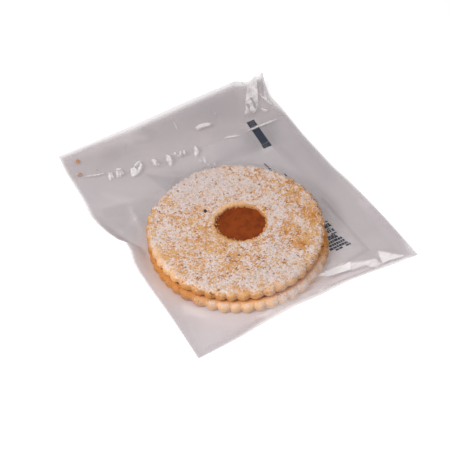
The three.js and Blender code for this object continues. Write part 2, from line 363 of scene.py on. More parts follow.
def spin_section(name, section, centre, steps):
    """Spins a section, points of radius and height, round an upright axis."""
    bpy.ops.object.select_all(action="DESELECT")
    bpy.ops.mesh.primitive_circle_add(vertices=len(section), radius=1, fill_type="NOTHING")
    piece = added(name)
    set_points(piece, [(centre[0] + r, centre[1], z) for r, z in section])
    bpy.ops.object.mode_set(mode="EDIT")
    bpy.ops.mesh.select_all(action="SELECT")
    axis_place = (centre[0] * MM, centre[1] * MM, 0)
    bpy.ops.mesh.spin(steps=steps, angle=math.tau, center=axis_place, axis=(0, 0, 1))
    bpy.ops.mesh.select_all(action="SELECT")
    bpy.ops.mesh.remove_doubles(threshold=0.002 * MM)
    bpy.ops.mesh.normals_make_consistent(inside=False)
    bpy.ops.object.mode_set(mode="OBJECT")
    return piece


def arc(middle, radii, start, stop, count):
    angles = np.radians(np.linspace(start, stop, count))
    return [(middle[0] + radii[0] * math.cos(a), middle[1] + radii[1] * math.sin(a)) for a in angles]


def run(start, stop, count):
    """Points between two corners, without the corners."""
    return [tuple(p) for p in np.linspace(start, stop, count + 2)[1:-1]]


def roughen(piece, name, grain, height):
    """Lifts and lowers the surface by a noise of that grain, in millimetres."""
    texture = bpy.data.textures.new(name, "CLOUDS")
    texture.noise_scale = grain * MM
    lift = piece.modifiers.new(name, "DISPLACE")
    lift.texture = texture
    lift.texture_coords = "LOCAL"
    lift.strength = height * MM
    lift.mid_level = 0.5
    alone(piece)
    bpy.ops.object.modifier_apply(modifier=lift.name)


# %% The biscuits' own edges
FILM_EASE = 0.8
TOP_CRUST = {**TOP_BISCUIT, "radius": TOP_BISCUIT["radius"] - FILM_EASE}
LOW_CRUST = {**LOW_BISCUIT, "radius": LOW_BISCUIT["radius"] - FILM_EASE / 2}


# %% Press the flutes into a biscuit's edge
def directions(x, y, disc):
    """The direction of each place from a disc's middle, in degrees."""
    return np.degrees(np.arctan2(y - disc["y"], x - disc["x"]))


def directions_of(points, disc):
    return directions(points[:, 0], points[:, 1], disc)


def out_from(points, disc):
    """How far out each place is from a disc's middle, in millimetres."""
    return np.hypot(points[:, 0] - disc["x"], points[:, 1] - disc["y"])


def off_by(angle, direction):
    """How far each direction is from one of them, in degrees, either way round."""
    return (angle - direction + 180) % 360 - 180


def uneven_angle(angle, seed):
    """The lobes are not quite evenly spaced."""
    return angle + 0.02 * np.sin(5 * angle + seed) + 0.012 * np.sin(9 * angle)


def press_flutes(piece, disc, depth, reach, z_low, z_high, seed, bulges):
    """Draws the edge in between the lobes, and rounds each lobe over its top like a bead."""
    draw = np.random.default_rng(seed)
    size_of = 1 + 0.3 * draw.uniform(-1, 1, FLUTES)
    points = points_of(piece)
    x, y, radius, angle = polar(points, (disc["x"], disc["y"]))
    uneven = uneven_angle(angle, seed)
    lobe = np.floor(uneven / math.tau * FLUTES + 0.5).astype(int) % FLUTES
    notch = flute(uneven) * size_of[lobe]
    near_edge = smooth(disc["radius"] - reach, disc["radius"], radius)
    drawn_in = 1 - depth * notch * near_edge / np.maximum(radius, 1)
    swell = 1 + 0.008 * np.sin(3 * angle + seed) + 0.004 * np.sin(5 * angle)
    for direction, spread, amount in bulges:
        facing = bell(off_by(np.degrees(angle), direction), spread)
        swell += amount / disc["radius"] * facing * smooth(22, 40, radius)
    points[:, 0] = disc["x"] + x * drawn_in * swell
    points[:, 1] = disc["y"] + y * drawn_in * swell
    share_up = (points[:, 2] - z_low) / (z_high - z_low)
    dip = near_edge * notch * depth * (0.35 * smooth(0.5, 1, share_up) - 0.35 * smooth(0.5, 0, share_up))
    points[:, 2] -= dip
    set_points(piece, points)
    print(piece.name, "lobes:", FLUTES, "faces:", len(piece.data.polygons))


# %% The top biscuit, with its round window
TOP_Z = (6.5, 12.15)
EDGE_ROUND = (2.9, 2.5)
FOOT_ROUND = (1.6, 1.5)
WINDOW_ROUND = 1.3
WINDOW_RADIUS = 12.6


def crust_side(outer, z_low, z_high, shoulder):
    """A biscuit's side in section: its rounded foot, its wall and its rounded shoulder."""
    foot_z, shoulder_z = z_low + FOOT_ROUND[1], z_high - shoulder[1]
    return (
        arc((outer - FOOT_ROUND[0], foot_z), FOOT_ROUND, -90, 0, 6)
        + run((outer, foot_z), (outer, shoulder_z), 2)
        + arc((outer - shoulder[0], shoulder_z), shoulder, 0, 90, 10)
    )


outer, inner = TOP_CRUST["radius"], WINDOW_RADIUS
z_low, z_high = TOP_Z
top_section = (
    run((inner + 0.5, z_low), (outer - FOOT_ROUND[0], z_low), 9)
    + crust_side(outer, z_low, z_high, EDGE_ROUND)
    + run((outer - EDGE_ROUND[0], z_high), (inner + WINDOW_ROUND, z_high), 50)
    + arc((inner + WINDOW_ROUND, z_high - WINDOW_ROUND), (WINDOW_ROUND, WINDOW_ROUND), 90, 180, 7)
    + run((inner, z_high - WINDOW_ROUND), (inner, z_low), 8)
)
top_biscuit = spin_section("top_biscuit", top_section, CENTRE, AROUND)


RAGGED = 0.5
# The window is a little narrower along one line.
WINDOW_SQUASH = 0.5
WINDOW_TURN = math.radians(151)
# How far the window lies from the dimple in the film over it.
WINDOW_SHIFT = (0.2, 0.4)


def round_noise(angle, lumps):
    """A noise that closes on itself round a circle, finer with more lumps."""
    return np.array([noise.noise(Vector((math.cos(a), math.sin(a), 0.3)) * lumps) for a in angle])


def shift_window(piece):
    """The window was punched a little off the biscuit's middle, and by hand."""
    points = points_of(piece)
    _, _, radius, angle = polar(points, CENTRE)
    near = 1 - smooth(WINDOW_RADIUS, TOP_CRUST["radius"] - 8, radius)
    wobble = 0.2 * np.sin(3 * angle + 1) + 0.16 * np.sin(7 * angle) + 0.13 * np.sin(13 * angle + 2)
    wobble += RAGGED * round_noise(angle, 9) + 0.7 * RAGGED * round_noise(angle, 21)
    wobble -= WINDOW_SQUASH * np.cos(angle - WINDOW_TURN) ** 2
    points[:, 0] += near * (HOLE["x"] + WINDOW_SHIFT[0] - CENTRE[0] + wobble * np.cos(angle))
    points[:, 1] += near * (HOLE["y"] + WINDOW_SHIFT[1] - CENTRE[1] + wobble * np.sin(angle))
    set_points(piece, points)


shift_window(top_biscuit)
# Where the edge is dented in or bulges out: direction in degrees, spread, millimetres.
TOP_BULGES = [(-153, 12, -1.3), (-172, 8, -0.7)]
press_flutes(top_biscuit, TOP_CRUST, 1.15, 3.0, *TOP_Z, seed=3, bulges=TOP_BULGES)

# %% The bottom biscuit
LOW_Z = (0.35, 5.6)
LOW_ROUND = (2.9, 2.3)
# How far in from the edge its top shows, and is cut finely.
FINE_BAND = 12
outer = LOW_CRUST["radius"]
z_low, z_high = LOW_Z
low_section = (
    [(0, z_low)]
    + run((0, z_low), (outer - FOOT_ROUND[0], z_low), 14)
    + crust_side(outer, z_low, z_high, LOW_ROUND)
    + run((outer - LOW_ROUND[0], z_high), (outer - FINE_BAND, z_high), 16)
    + run((outer - FINE_BAND, z_high), (0, z_high), 8)
    + [(0, z_high)]
)
bottom_biscuit = spin_section("bottom_biscuit", low_section, (LOW_BISCUIT["x"], LOW_BISCUIT["y"]), AROUND)
LOW_SEED = 8
LOW_BULGES = [(50, 20, 1.1)]
press_flutes(bottom_biscuit, LOW_CRUST, 1.35, 4.0, *LOW_Z, seed=LOW_SEED, bulges=LOW_BULGES)

# %% Crumb
for biscuit in (top_biscuit, bottom_biscuit):
    roughen(biscuit, "swells", 16, 0.35)
    roughen(biscuit, "lumps", 3.4, 0.42)
    roughen(biscuit, "crumb", 1.1, 0.42)

# %% [markdown]
# ## Where the sugar lies
#
# Icing sugar is sifted on by hand, so it lies thick in some places and thin
# in others, and hardly at all on the steep edge. A short list of soft patches
# gives how much of the crust it hides at each place. The colour of the crust
# and the loose grains on it both read that one rule.

# %% Dusting
THIN_DUSTING = 0.4
# Patches from the biscuit's middle: x, y, spread, how much is added.
PATCHES = [
    (-36, -4, 16, 0.32), (-26, 14, 12, 0.12), (-4, 28, 9, 0.16), (38, 9, 9, 0.2),
    (-10, -33, 10, 0.16), (20, -29, 9, 0.14), (4, 19, 6, 0.1), (12, 36, 6, -0.26),
    (20, 20, 6, -0.16), (12, -10, 6, -0.14), (-14, -16, 7, -0.06), (42, -20, 8, -0.16),
    (21, 12, 7, 0.22), (11.5, -5, 5, 0.2), (33, -8, 8, 0.16), (34, -18, 7, 0.14), (31, 0, 6, 0.1),
    (-18, 19, 7, 0.1), (-26, -18, 6, 0.1), (14, 29, 5, 0.16), (27.6, 21.6, 3.6, -0.4),
    (-2, -40, 6, -0.2), (-3.5, 36, 6, -0.2), (-5, -15, 4, -0.14), (12, -33, 5, -0.1), (21, -21, 4, -0.12),
]


def dusting(points):
    """The share of the crust that sugar hides, from 0 to 1, for places in millimetres."""
    x, y = points[:, 0] - CENTRE[0], points[:, 1] - CENTRE[1]
    cover = np.full(len(points), THIN_DUSTING)
    for px, py, spread, amount in PATCHES:
        cover += amount * bell(np.hypot(x - px, y - py), spread)
    edge = smooth(TOP_CRUST["radius"] + 0.2, TOP_CRUST["radius"] - 2.0, np.hypot(x, y))
    from_hole = out_from(points, HOLE)
    # Sugar reaches the window's rim on its far side, and stops short of it elsewhere.
    bare = 0.7 * (1 - bell(off_by(directions_of(points, HOLE), 150), 70))
    window = smooth(-0.9, 0.5, from_hole - HOLE["radius"] - bare)
    return np.clip(cover, 0, 1) * (0.36 + 0.64 * edge) * window


def upward(points):
    return smooth(8.8, 11.1, points[:, 2])


top_points = points_of(top_biscuit)
set_attribute(top_biscuit, "dusting", dusting(top_points) * upward(top_points))

low_points = points_of(bottom_biscuit)
low_radius = out_from(low_points, LOW_BISCUIT)
LEDGE = (41.4, 43.0)
LOW_SUGAR = (0.13, 0.46)


def pale_side(angle):
    """The lower biscuit baked pale on the side towards the closed end, and brown round the rest."""
    return smooth(-65, -43, angle) * smooth(54, 32, angle)


low_up = smooth(2.2, 4.4, low_points[:, 2])
low_angle = directions_of(low_points, LOW_BISCUIT)
low_sugar = LOW_SUGAR[0] + (LOW_SUGAR[1] - LOW_SUGAR[0]) * bell(off_by(low_angle, 16), 26)
lobe_share = smooth(*LEDGE, low_radius)
# Each lobe has a little cap of sugar where it is highest.
on_lobe = 1 - flute(uneven_angle(np.radians(low_angle), LOW_SEED))
cap = bell(1 - on_lobe, 0.45) * bell(low_radius - 43.1, 0.95) * smooth(4.4, 5.1, low_points[:, 2])
low_sugar = np.maximum(low_sugar, 0.62 * cap)
set_attribute(bottom_biscuit, "dusting", low_sugar * low_up * lobe_share * pale_side(low_angle))

# The crust is browned more on the side walls, and on the ledge under the top biscuit.
set_attribute(top_biscuit, "baked", 0.8 * smooth(11.2, 9.8, top_points[:, 2]))
set_attribute(bottom_biscuit, "baked", 1 - lobe_share * pale_side(low_angle))

# The lobes that baked pale, partly lightened as painted light where they fall in shade: direction in degrees,
# spread, how pale.
PALE_LOBES = [(-86, 19, 0.8), (-28, 16, 0.25), (0, 24, 0.65), (40, 22, 0.45)]
top_radius = out_from(top_points, TOP_BISCUIT)
top_angle = directions_of(top_points, TOP_BISCUIT)
pale_and_lit = np.max([share * bell(off_by(top_angle, at), spread) for at, spread, share in PALE_LOBES], axis=0)
hole_radius = out_from(top_points, HOLE)
hole_angle = directions_of(top_points, HOLE)
# Painted light on the shaded side of the window's wall.
lit_window_wall = 0.75 * bell(off_by(hole_angle, -165), 75) * smooth(15, 13.5, hole_radius)
set_attribute(top_biscuit, "pale_and_lit", pale_and_lit * smooth(39.5, 42.5, top_radius) + lit_window_wall)
# On the ledge under the top biscuit the paleness is painted light, as it lies in shade; on the lobes it is
# their own pale crust.
set_attribute(bottom_biscuit, "pale_and_lit", (0.45 + 0.55 * lobe_share) * pale_side(low_angle))

# %% [markdown]
# ## Shortbread
#
# Baked shortbread is golden, deeper where it browned and paler where it is
# floury, with small dark specks of nut. Some of its paleness is painted light
# where the crust lies in shade. Sugar is a second, whiter finish laid over it by
# a fine noise, so that it breaks up into grains, and it is greyed as painted
# shade where it lies thickest.


# %% Shortbread finish
def noise_node(tree, coordinates, scale, detail=2.0, roughness=0.5):
    node = add_node(tree, "TexNoise", Scale=scale, Detail=detail, Roughness=roughness)
    tree.links.new(coordinates, node.inputs["Vector"])
    return node.outputs["Fac"]


def between(tree, value, low, high, to_low=0.0, to_high=1.0):
    node = add_node(tree, "MapRange", interpolation_type="SMOOTHSTEP")
    tree.links.new(value, node.inputs["Value"])
    for socket, number in zip(("From Min", "From Max", "To Min", "To Max"), (low, high, to_low, to_high)):
        node.inputs[socket].default_value = number
    return node.outputs["Result"]


def blend_colours(tree, share, first, second):
    node = add_node(tree, "Mix", data_type="RGBA")
    tree.links.new(share, node.inputs["Factor"])
    for socket, colour in ((node.inputs["A"], first), (node.inputs["B"], second)):
        socket = [s for s in node.inputs if s.name == socket.name and s.type == "RGBA"][0]
        if isinstance(colour, tuple):
            socket.default_value = (*colour, 1)
        else:
            tree.links.new(colour, socket)
    return [s for s in node.outputs if s.type == "RGBA"][0]


def maths(tree, operation, first, second=0.0, third=0.0):
    node = add_node(tree, "Math", operation=operation)
    for socket, value in zip(node.inputs, (first, second, third)):
        if isinstance(value, (int, float)):
            socket.default_value = value
        else:
            tree.links.new(value, socket)
    return node.outputs[0]


def object_place(tree):
    return add_node(tree, "TexCoord").outputs["Object"]


def read_attribute(tree, name):
    return add_node(tree, "Attribute", attribute_name=name).outputs["Fac"]


def bumped(tree, shader, height, strength, depth):
    """Gives a shader a bump of that depth in millimetres."""
    bump = add_node(tree, "Bump", Strength=strength, Distance=depth * MM)
    tree.links.new(height, bump.inputs["Height"])
    tree.links.new(bump.outputs[0], shader.inputs["Normal"])


GOLDEN = (0.655, 0.29, 0.068)
BROWNED = (0.50, 0.19, 0.028)
BAKED = (0.66, 0.265, 0.05)
# Pale crust, also used as painted light on shaded lobes, the ledge and the window's wall.
PALE = (0.92, 0.56, 0.285)
FLOURY = (0.73, 0.41, 0.165)
TOASTED = (0.36, 0.12, 0.018)
PIT = (0.20, 0.06, 0.010)
SPECK = (0.15, 0.045, 0.014)
SUGAR = (0.80, 0.695, 0.665)
# Sugar greyed as painted shade, where it lies thickest towards the folded end.
SUGAR_IN_PAINTED_SHADE = (0.685, 0.618, 0.618)


def shortbread_material():
    material, tree = material_nodes("shortbread")
    place = object_place(tree)
    patches = between(tree, noise_node(tree, place, 95), 0.36, 0.66)
    crust = blend_colours(tree, patches, FLOURY, GOLDEN)
    browning = between(tree, noise_node(tree, place, 230, 3), 0.50, 0.68)
    crust = blend_colours(tree, browning, crust, BROWNED)
    baked = read_attribute(tree, "baked")
    crust = blend_colours(tree, baked, crust, BAKED)
    toasted = between(tree, noise_node(tree, place, 1500, 2), 0.5, 0.66)
    crust = blend_colours(tree, maths(tree, "MULTIPLY", toasted, 0.45), crust, TOASTED)
    # Paler crust, partly painted light where the crust lies in shade.
    pale_and_lit = read_attribute(tree, "pale_and_lit")
    crust = blend_colours(tree, pale_and_lit, crust, PALE)
    cover = read_attribute(tree, "dusting")
    grains = noise_node(tree, place, 1300, 3, 0.6)
    flakes = noise_node(tree, place, 560, 2)
    drifts = noise_node(tree, place, 190, 2)
    texture = maths(tree, "MULTIPLY", grains, 0.42)
    texture = maths(tree, "MULTIPLY_ADD", flakes, 0.29, texture)
    texture = maths(tree, "MULTIPLY_ADD", drifts, 0.29, texture)
    lack = maths(tree, "SUBTRACT", 0.628, maths(tree, "MULTIPLY", cover, 0.3))
    white = between(tree, maths(tree, "SUBTRACT", texture, lack), -0.045, 0.055)
    white = maths(tree, "MULTIPLY", white, between(tree, cover, 0.0, 0.08))
    # Between its grains the crust shows through.
    covering = between(tree, noise_node(tree, place, 1700, 1), 0.34, 0.54, 0.51, 1.0)
    white = maths(tree, "MULTIPLY", white, covering)
    # Where the sugar lies thickest it is greyed: painted shade.
    sugar = blend_colours(tree, between(tree, cover, 0.4, 0.7), SUGAR, SUGAR_IN_PAINTED_SHADE)
    colour = blend_colours(tree, white, crust, sugar)
    # Open pores and nut specks stay dark, as sugar doesn't lie in them.
    pores = between(tree, noise_node(tree, place, 640, 2), 0.632, 0.695)
    pores = maths(tree, "MULTIPLY", pores, maths(tree, "SUBTRACT", 0.9, maths(tree, "MULTIPLY", pale_and_lit, 0.6)))
    colour = blend_colours(tree, pores, colour, PIT)
    specks = between(tree, noise_node(tree, place, 900, 1), 0.765, 0.81)
    colour = blend_colours(tree, specks, colour, SPECK)
    shader = principled(tree, GOLDEN, 0.82)
    tree.links.new(colour, shader.inputs["Base Color"])
    bumped(tree, shader, maths(tree, "ADD", grains, maths(tree, "MULTIPLY", white, 0.6)), 0.75, 0.25)
    finish_material(tree, shader)
    return material


shortbread = shortbread_material()
dress_smooth(top_biscuit, shortbread)
dress_smooth(bottom_biscuit, shortbread)

# %% [markdown]
# ## Jam
#
# The jam glues the biscuits and shows in the window as a low, glossy dome.
# Between the biscuits it is a thin layer with a ragged edge that comes out a
# little where they are pressed. Both are spun sections, made uneven by a rule.

# %% Jam in the window and between the biscuits
JAM_FOOT = 6.2
JAM_LEVEL = 9.8
JAM_DOME = 0.5
JAM_RADIUS = 13.4
JAM_ROUND = (0.8, 0.4)
JAM_STEPS = 132
window_jam = spin_section(
    "window_jam",
    [(0, JAM_FOOT)] + run((0, JAM_FOOT), (JAM_RADIUS, JAM_FOOT), 3)
    + run((JAM_RADIUS, JAM_FOOT), (JAM_RADIUS, JAM_LEVEL - JAM_ROUND[1]), 2)
    + arc((JAM_RADIUS - JAM_ROUND[0], JAM_LEVEL - JAM_ROUND[1]), JAM_ROUND, 0, 90, 4)
    + run((JAM_RADIUS - JAM_ROUND[0], JAM_LEVEL), (0, JAM_LEVEL + JAM_DOME), 22)
    + [(0, JAM_LEVEL + JAM_DOME)],
    (HOLE["x"], HOLE["y"]),
    JAM_STEPS,
)
roughen(window_jam, "jam_swells", 5, 0.5)
roughen(window_jam, "jam_pips", 1.6, 0.16)

LAYER_CENTRE = (26.6, -10.0)
LAYER_RADIUS = 40.9
LAYER_Z = (5.2, 6.8)
LAYER_ROUND = (0.7, 0.8)
LAYER_STEPS = 440
layer_flat = LAYER_RADIUS - LAYER_ROUND[0]
jam_layer = spin_section(
    "jam_layer",
    [(0, LAYER_Z[0])] + run((0, LAYER_Z[0]), (layer_flat, LAYER_Z[0]), 6)
    + arc((layer_flat, LAYER_Z[0] + LAYER_ROUND[1]), LAYER_ROUND, -90, 90, 8)
    + run((layer_flat, LAYER_Z[1]), (0, LAYER_Z[1]), 6)
    + [(0, LAYER_Z[1])],
    LAYER_CENTRE,
    LAYER_STEPS,
)


def ragged(piece, centre, amount):
    points = points_of(piece)
    x, y, radius, angle = polar(points, centre)
    wander = np.sin(5 * angle + 1) + 0.8 * np.sin(11 * angle + 4) + 0.7 * np.sin(23 * angle)
    scale = 1 + amount * wander * smooth(30, 42, radius)
    points[:, 0] = centre[0] + x * scale
    points[:, 1] = centre[1] + y * scale
    set_points(piece, points)


ragged(jam_layer, LAYER_CENTRE, 0.014)
roughen(jam_layer, "layer_lumps", 2.2, 0.3)

JAM = (0.275, 0.0495, 0.003)
JAM_DEEP = (0.178, 0.0285, 0.002)


def jam_material():
    material, tree = material_nodes("jam")
    place = object_place(tree)
    depth = between(tree, noise_node(tree, place, 240, 3), 0.35, 0.7)
    colour = blend_colours(tree, depth, JAM, JAM_DEEP)
    shader = principled(tree, JAM, 0.45, IOR=1.3)
    tree.links.new(colour, shader.inputs["Base Color"])
    bumped(tree, shader, noise_node(tree, place, 700, 2), 0.35, 0.2)
    finish_material(tree, shader)
    return material


jam = jam_material()
dress_smooth(window_jam, jam)
dress_smooth(jam_layer, jam)
print("jam stands below the biscuit's top by, mm:", round(TOP_Z[1] - JAM_LEVEL, 1))

# %% [markdown]
# ## Grains that stand up
#
# A finish alone stays flat when the light rakes over it. So the sugar also
# has real clumps, and the crust real nut specks: one small stone is modelled
# once, and copied thousands of times into one mesh, each copy turned, scaled
# and half sunk in the surface by a seeded draw.


# %% Copy one small model to many places
def copies(name, model, places, frames):
    """One mesh of the model at each place, each copy's axes given by a 3 by 3 frame."""
    corners = points_of(model)
    faces = np.array([list(f.vertices) for f in model.data.polygons])
    moved = np.einsum("nij,kj->nki", frames, corners) + places[:, None, :]
    shifts = np.arange(len(places))[:, None, None] * len(corners)
    mesh = bpy.data.meshes.new(name)
    all_corners = moved.reshape(-1, 3) * MM
    all_faces = (faces[None] + shifts).reshape(-1, faces.shape[1])
    mesh.from_pydata(all_corners.tolist(), [], all_faces.tolist())
    piece = bpy.data.objects.new(name, mesh)
    scene.collection.objects.link(piece)
    bpy.data.objects.remove(model)
    print(name, "copies:", len(places), "faces:", len(mesh.polygons))
    return piece


def pebble(seed):
    """A small uneven stone, 1 mm in radius."""
    bpy.ops.object.select_all(action="DESELECT")
    bpy.ops.mesh.primitive_ico_sphere_add(subdivisions=1, radius=MM)
    stone = added("pebble")
    draw = np.random.default_rng(seed)
    points = points_of(stone)
    set_points(stone, points * draw.uniform(0.75, 1.2, (len(points), 1)))
    return stone


def turned_frames(draw, sizes):
    """Frames turned and tipped at random, with the given sizes along their axes."""
    count = len(sizes)
    turn = draw.uniform(0, math.tau, count)
    tip = draw.uniform(-0.6, 0.6, count)
    c, s = np.cos(turn), np.sin(turn)
    ct, st = np.cos(tip), np.sin(tip)
    spin = np.zeros((count, 3, 3))
    spin[:, 0, 0], spin[:, 0, 1], spin[:, 1, 0], spin[:, 1, 1], spin[:, 2, 2] = c, -s, s, c, 1
    lean = np.zeros((count, 3, 3))
    lean[:, 0, 0], lean[:, 1, 1], lean[:, 1, 2], lean[:, 2, 1], lean[:, 2, 2] = 1, ct, -st, st, ct
    return spin @ lean * sizes[:, None, :]


def strewn(name, seed, spots, draw, span, uneven=0.7, flat=1.0):
    """One stone copied to each spot, each copy sized within a span and turned by the draw."""
    count = len(spots)
    sizes = draw.uniform(*span, (count, 1)) * draw.uniform(uneven, 1.2, (count, 3)) * (1, 1, flat)
    return copies(name, pebble(seed), spots, turned_frames(draw, sizes))


def surface_spots(piece, draw, count, weight):
    """Vertices of a piece drawn by weight, each moved a little within its own cell."""
    points = points_of(piece)
    chance = np.maximum(weight(points), 0)
    chosen = draw.choice(len(points), count, p=chance / chance.sum())
    spots = points[chosen].copy()
    spots[:, :2] += draw.uniform(-0.25, 0.25, (count, 2))
    return spots


# %% Sugar clumps
SUGAR_CLUMPS = 7600
LOW_CLUMPS = 520


def clumping(points):
    """Clumps gather where a slow noise is high."""
    drift = np.array([noise.noise(Vector((x, y, 3.0)) / 1.6) for x, y in points[:, :2]])
    return np.clip(0.35 + drift, 0, 1) * dusting(points) * upward(points) * out_from(points, TOP_BISCUIT)


draw = np.random.default_rng(21)
spots = surface_spots(top_biscuit, draw, SUGAR_CLUMPS, clumping)


def low_clumping(points):
    """On the lower biscuit they show on the tops of the lobes alone."""
    radius = out_from(points, LOW_BISCUIT)
    angle = directions_of(points, LOW_BISCUIT)
    sugared = 0.3 + 0.7 * bell(off_by(angle, 16), 30)
    return smooth(3.0, 4.8, points[:, 2]) * smooth(*LEDGE, radius) * pale_side(angle) * sugared


low_spots = surface_spots(bottom_biscuit, draw, LOW_CLUMPS, low_clumping)
spots = np.vstack([spots, low_spots])
icing_sugar = strewn("icing_sugar", 4, spots, draw, (0.12, 0.3), uneven=0.8, flat=0.6)


def plain(name, colour, roughness):
    """A matt finish of one colour."""
    material, tree = material_nodes(name)
    finish_material(tree, principled(tree, colour, roughness))
    return material


icing_sugar.data.materials.append(plain("icing_sugar", SUGAR, 0.75))

# %% Brown specks of nut, and the one dark one
NUT_SPECKS = 60
NUT_COLOURS = ((0.36, 0.13, 0.04), (0.15, 0.048, 0.017))
DARK_SPECK = (9.2, -18.1, TOP_Z[1] + 0.1)


def on_the_flat(points):
    """Weighs vertices so that specks fall evenly, as they lie closer together near the middle."""
    return smooth(11.2, 12, points[:, 2]) * out_from(points, TOP_BISCUIT)


def mottled(name, scale, span, colours, roughness):
    """A matt finish that drifts between two colours by a noise."""
    material, tree = material_nodes(name)
    place = object_place(tree)
    drift = between(tree, noise_node(tree, place, scale), *span)
    shader = principled(tree, colours[0], roughness)
    tree.links.new(blend_colours(tree, drift, *colours), shader.inputs["Base Color"])
    finish_material(tree, shader)
    return material


draw = np.random.default_rng(5)
spots = surface_spots(top_biscuit, draw, NUT_SPECKS, on_the_flat)
nut_specks = strewn("nut_specks", 9, spots, draw, (0.16, 0.42), flat=0.6)
nut_specks.data.materials.append(mottled("nut", 110, (0.4, 0.6), NUT_COLOURS, 0.6))

dark_speck = copies("dark_speck", pebble(12), np.array([DARK_SPECK]), np.array([np.diag((1.25, 0.95, 0.5))]))
dark_speck.data.materials.append(plain("dark_crumb", (0.022, 0.024, 0.034), 0.5))

# %% Crumbs broken from the window's edge, on the jam
WINDOW_CRUMBS = 210
draw = np.random.default_rng(17)
# Most of them lie on the side towards the closed end.
around = draw.normal(math.radians(-40), 1.2, WINDOW_CRUMBS)
out_to = WINDOW_RADIUS + 0.1 - np.abs(draw.normal(0, 0.75, WINDOW_CRUMBS))
crumb_x = HOLE["x"] + WINDOW_SHIFT[0] + out_to * np.cos(around)
crumb_y = HOLE["y"] + WINDOW_SHIFT[1] + out_to * np.sin(around)
by_the_wall = smooth(WINDOW_RADIUS - 0.9, WINDOW_RADIUS, out_to)
crumb_z = JAM_LEVEL + 0.35 + draw.uniform(0, 1.9, WINDOW_CRUMBS) * by_the_wall
spots = np.stack([crumb_x, crumb_y, crumb_z], -1)
window_crumbs = strewn("window_crumbs", 23, spots, draw, (0.14, 0.42))
crumb_crust = mottled("window_crumb", 420, (0.42, 0.58), (BROWNED, FLOURY), 0.75)
window_crumbs.data.materials.append(crumb_crust)

# %% [markdown]
# ## Film
#
# The bag's film is clear, but it is never invisible: it veils what is behind
# it a little, whitens along every crease, and mirrors the light at a glance.
# The finish mixes three things for that: clear film, a milky share that an
# attribute raises at creases and along the folded end, where it also carries
# painted highlights on puckers, creases and facets, and a gloss that grows
# towards grazing angles. The milky colour carries painted shade and light too,
# and the painted warm light that the biscuits throw. Layer Weight's Facing is
# used for the gloss, because a thin sheet has to look the same from both of its
# sides.


# %% Film finish
def mix_shaders(tree, share, first, second):
    node = add_node(tree, "MixShader")
    for value, socket in zip((share, first.outputs[0], second.outputs[0]), node.inputs):
        tree.links.new(value, socket)
    return node


def film_material(name, milk, veil, gloss_floor, gloss_gain, roughness):
    """Clear film with a milky share: the veil, plus an attribute of haze and painted highlight, less an
    attribute thin.
    """
    material, tree = material_nodes(name)
    place = object_place(tree)
    haze = read_attribute(tree, "haze")
    thin = read_attribute(tree, "thin")
    shade_and_light = read_attribute(tree, "shade_and_light")
    amount = maths(tree, "SUBTRACT", maths(tree, "ADD", haze, veil), thin)
    amount = maths(tree, "MINIMUM", maths(tree, "MAXIMUM", amount, 0.0), 0.97)
    clear = add_node(tree, "BsdfTransparent", Color=(0.99, 0.985, 0.985, 1))
    milky = principled(tree, milk, 0.55, Specular_IOR_Level=0.3)
    # The milky colour is darkened by painted shade and lightened by painted light.
    darker, lighter = (tuple(share * v for v in milk) for share in SHADE_AND_LIGHT_RANGE)
    clouds = between(tree, noise_node(tree, place, 38, 3), 0.3, 0.75, -0.05, 0.05)
    shaded_milk = blend_colours(tree, maths(tree, "ADD", maths(tree, "ADD", shade_and_light, 0.5), clouds), darker, lighter)
    warm = read_attribute(tree, "warm")
    shaded_milk = blend_colours(tree, warm, shaded_milk, WARM_BOUNCE)
    whitened = blend_colours(tree, between(tree, haze, 0.1, 0.7), shaded_milk, STRESS_WHITE_AND_HIGHLIGHT)
    tree.links.new(whitened, milky.inputs["Base Color"])
    body = mix_shaders(tree, amount, clear, milky)
    gloss = add_node(tree, "BsdfGlossy", Roughness=roughness, Color=(1, 1, 1, 1))
    facing = add_node(tree, "LayerWeight", Blend=0.5).outputs["Facing"]
    mirror = maths(tree, "MULTIPLY_ADD", maths(tree, "POWER", facing, 5.0), gloss_gain, gloss_floor)
    finish_material(tree, mix_shaders(tree, mirror, body, gloss))
    return material


MILK = (0.61, 0.555, 0.57)
BACK_MILK = (0.56, 0.505, 0.522)
# The white of stressed film, which also serves as painted highlight.
STRESS_WHITE_AND_HIGHLIGHT = (0.89, 0.835, 0.84)
# The milky colour's shares where the painted shade is at its darkest and the painted light at its lightest.
SHADE_AND_LIGHT_RANGE = (0.62, 1.38)
# Painted warm light that the biscuits throw on the back film, where it lies close to them.
WARM_BOUNCE = (0.62, 0.445, 0.37)
front_finish = film_material("front_film", MILK, 0.0, 0.014, 0.45, 0.24)
flap_finish = film_material("flap_film", MILK, 0.04, 0.016, 0.5, 0.2)
back_finish = film_material("back_film", BACK_MILK, 0.88, 0.01, 0.2, 0.35)

# %% [markdown]
# ## Lay the films out
#
# A film starts as a flat grid. Each of its rows is stretched between the two
# sides of the rim, and each column between the two ends, which is a Coons
# patch: it takes any four sides and fills them evenly.


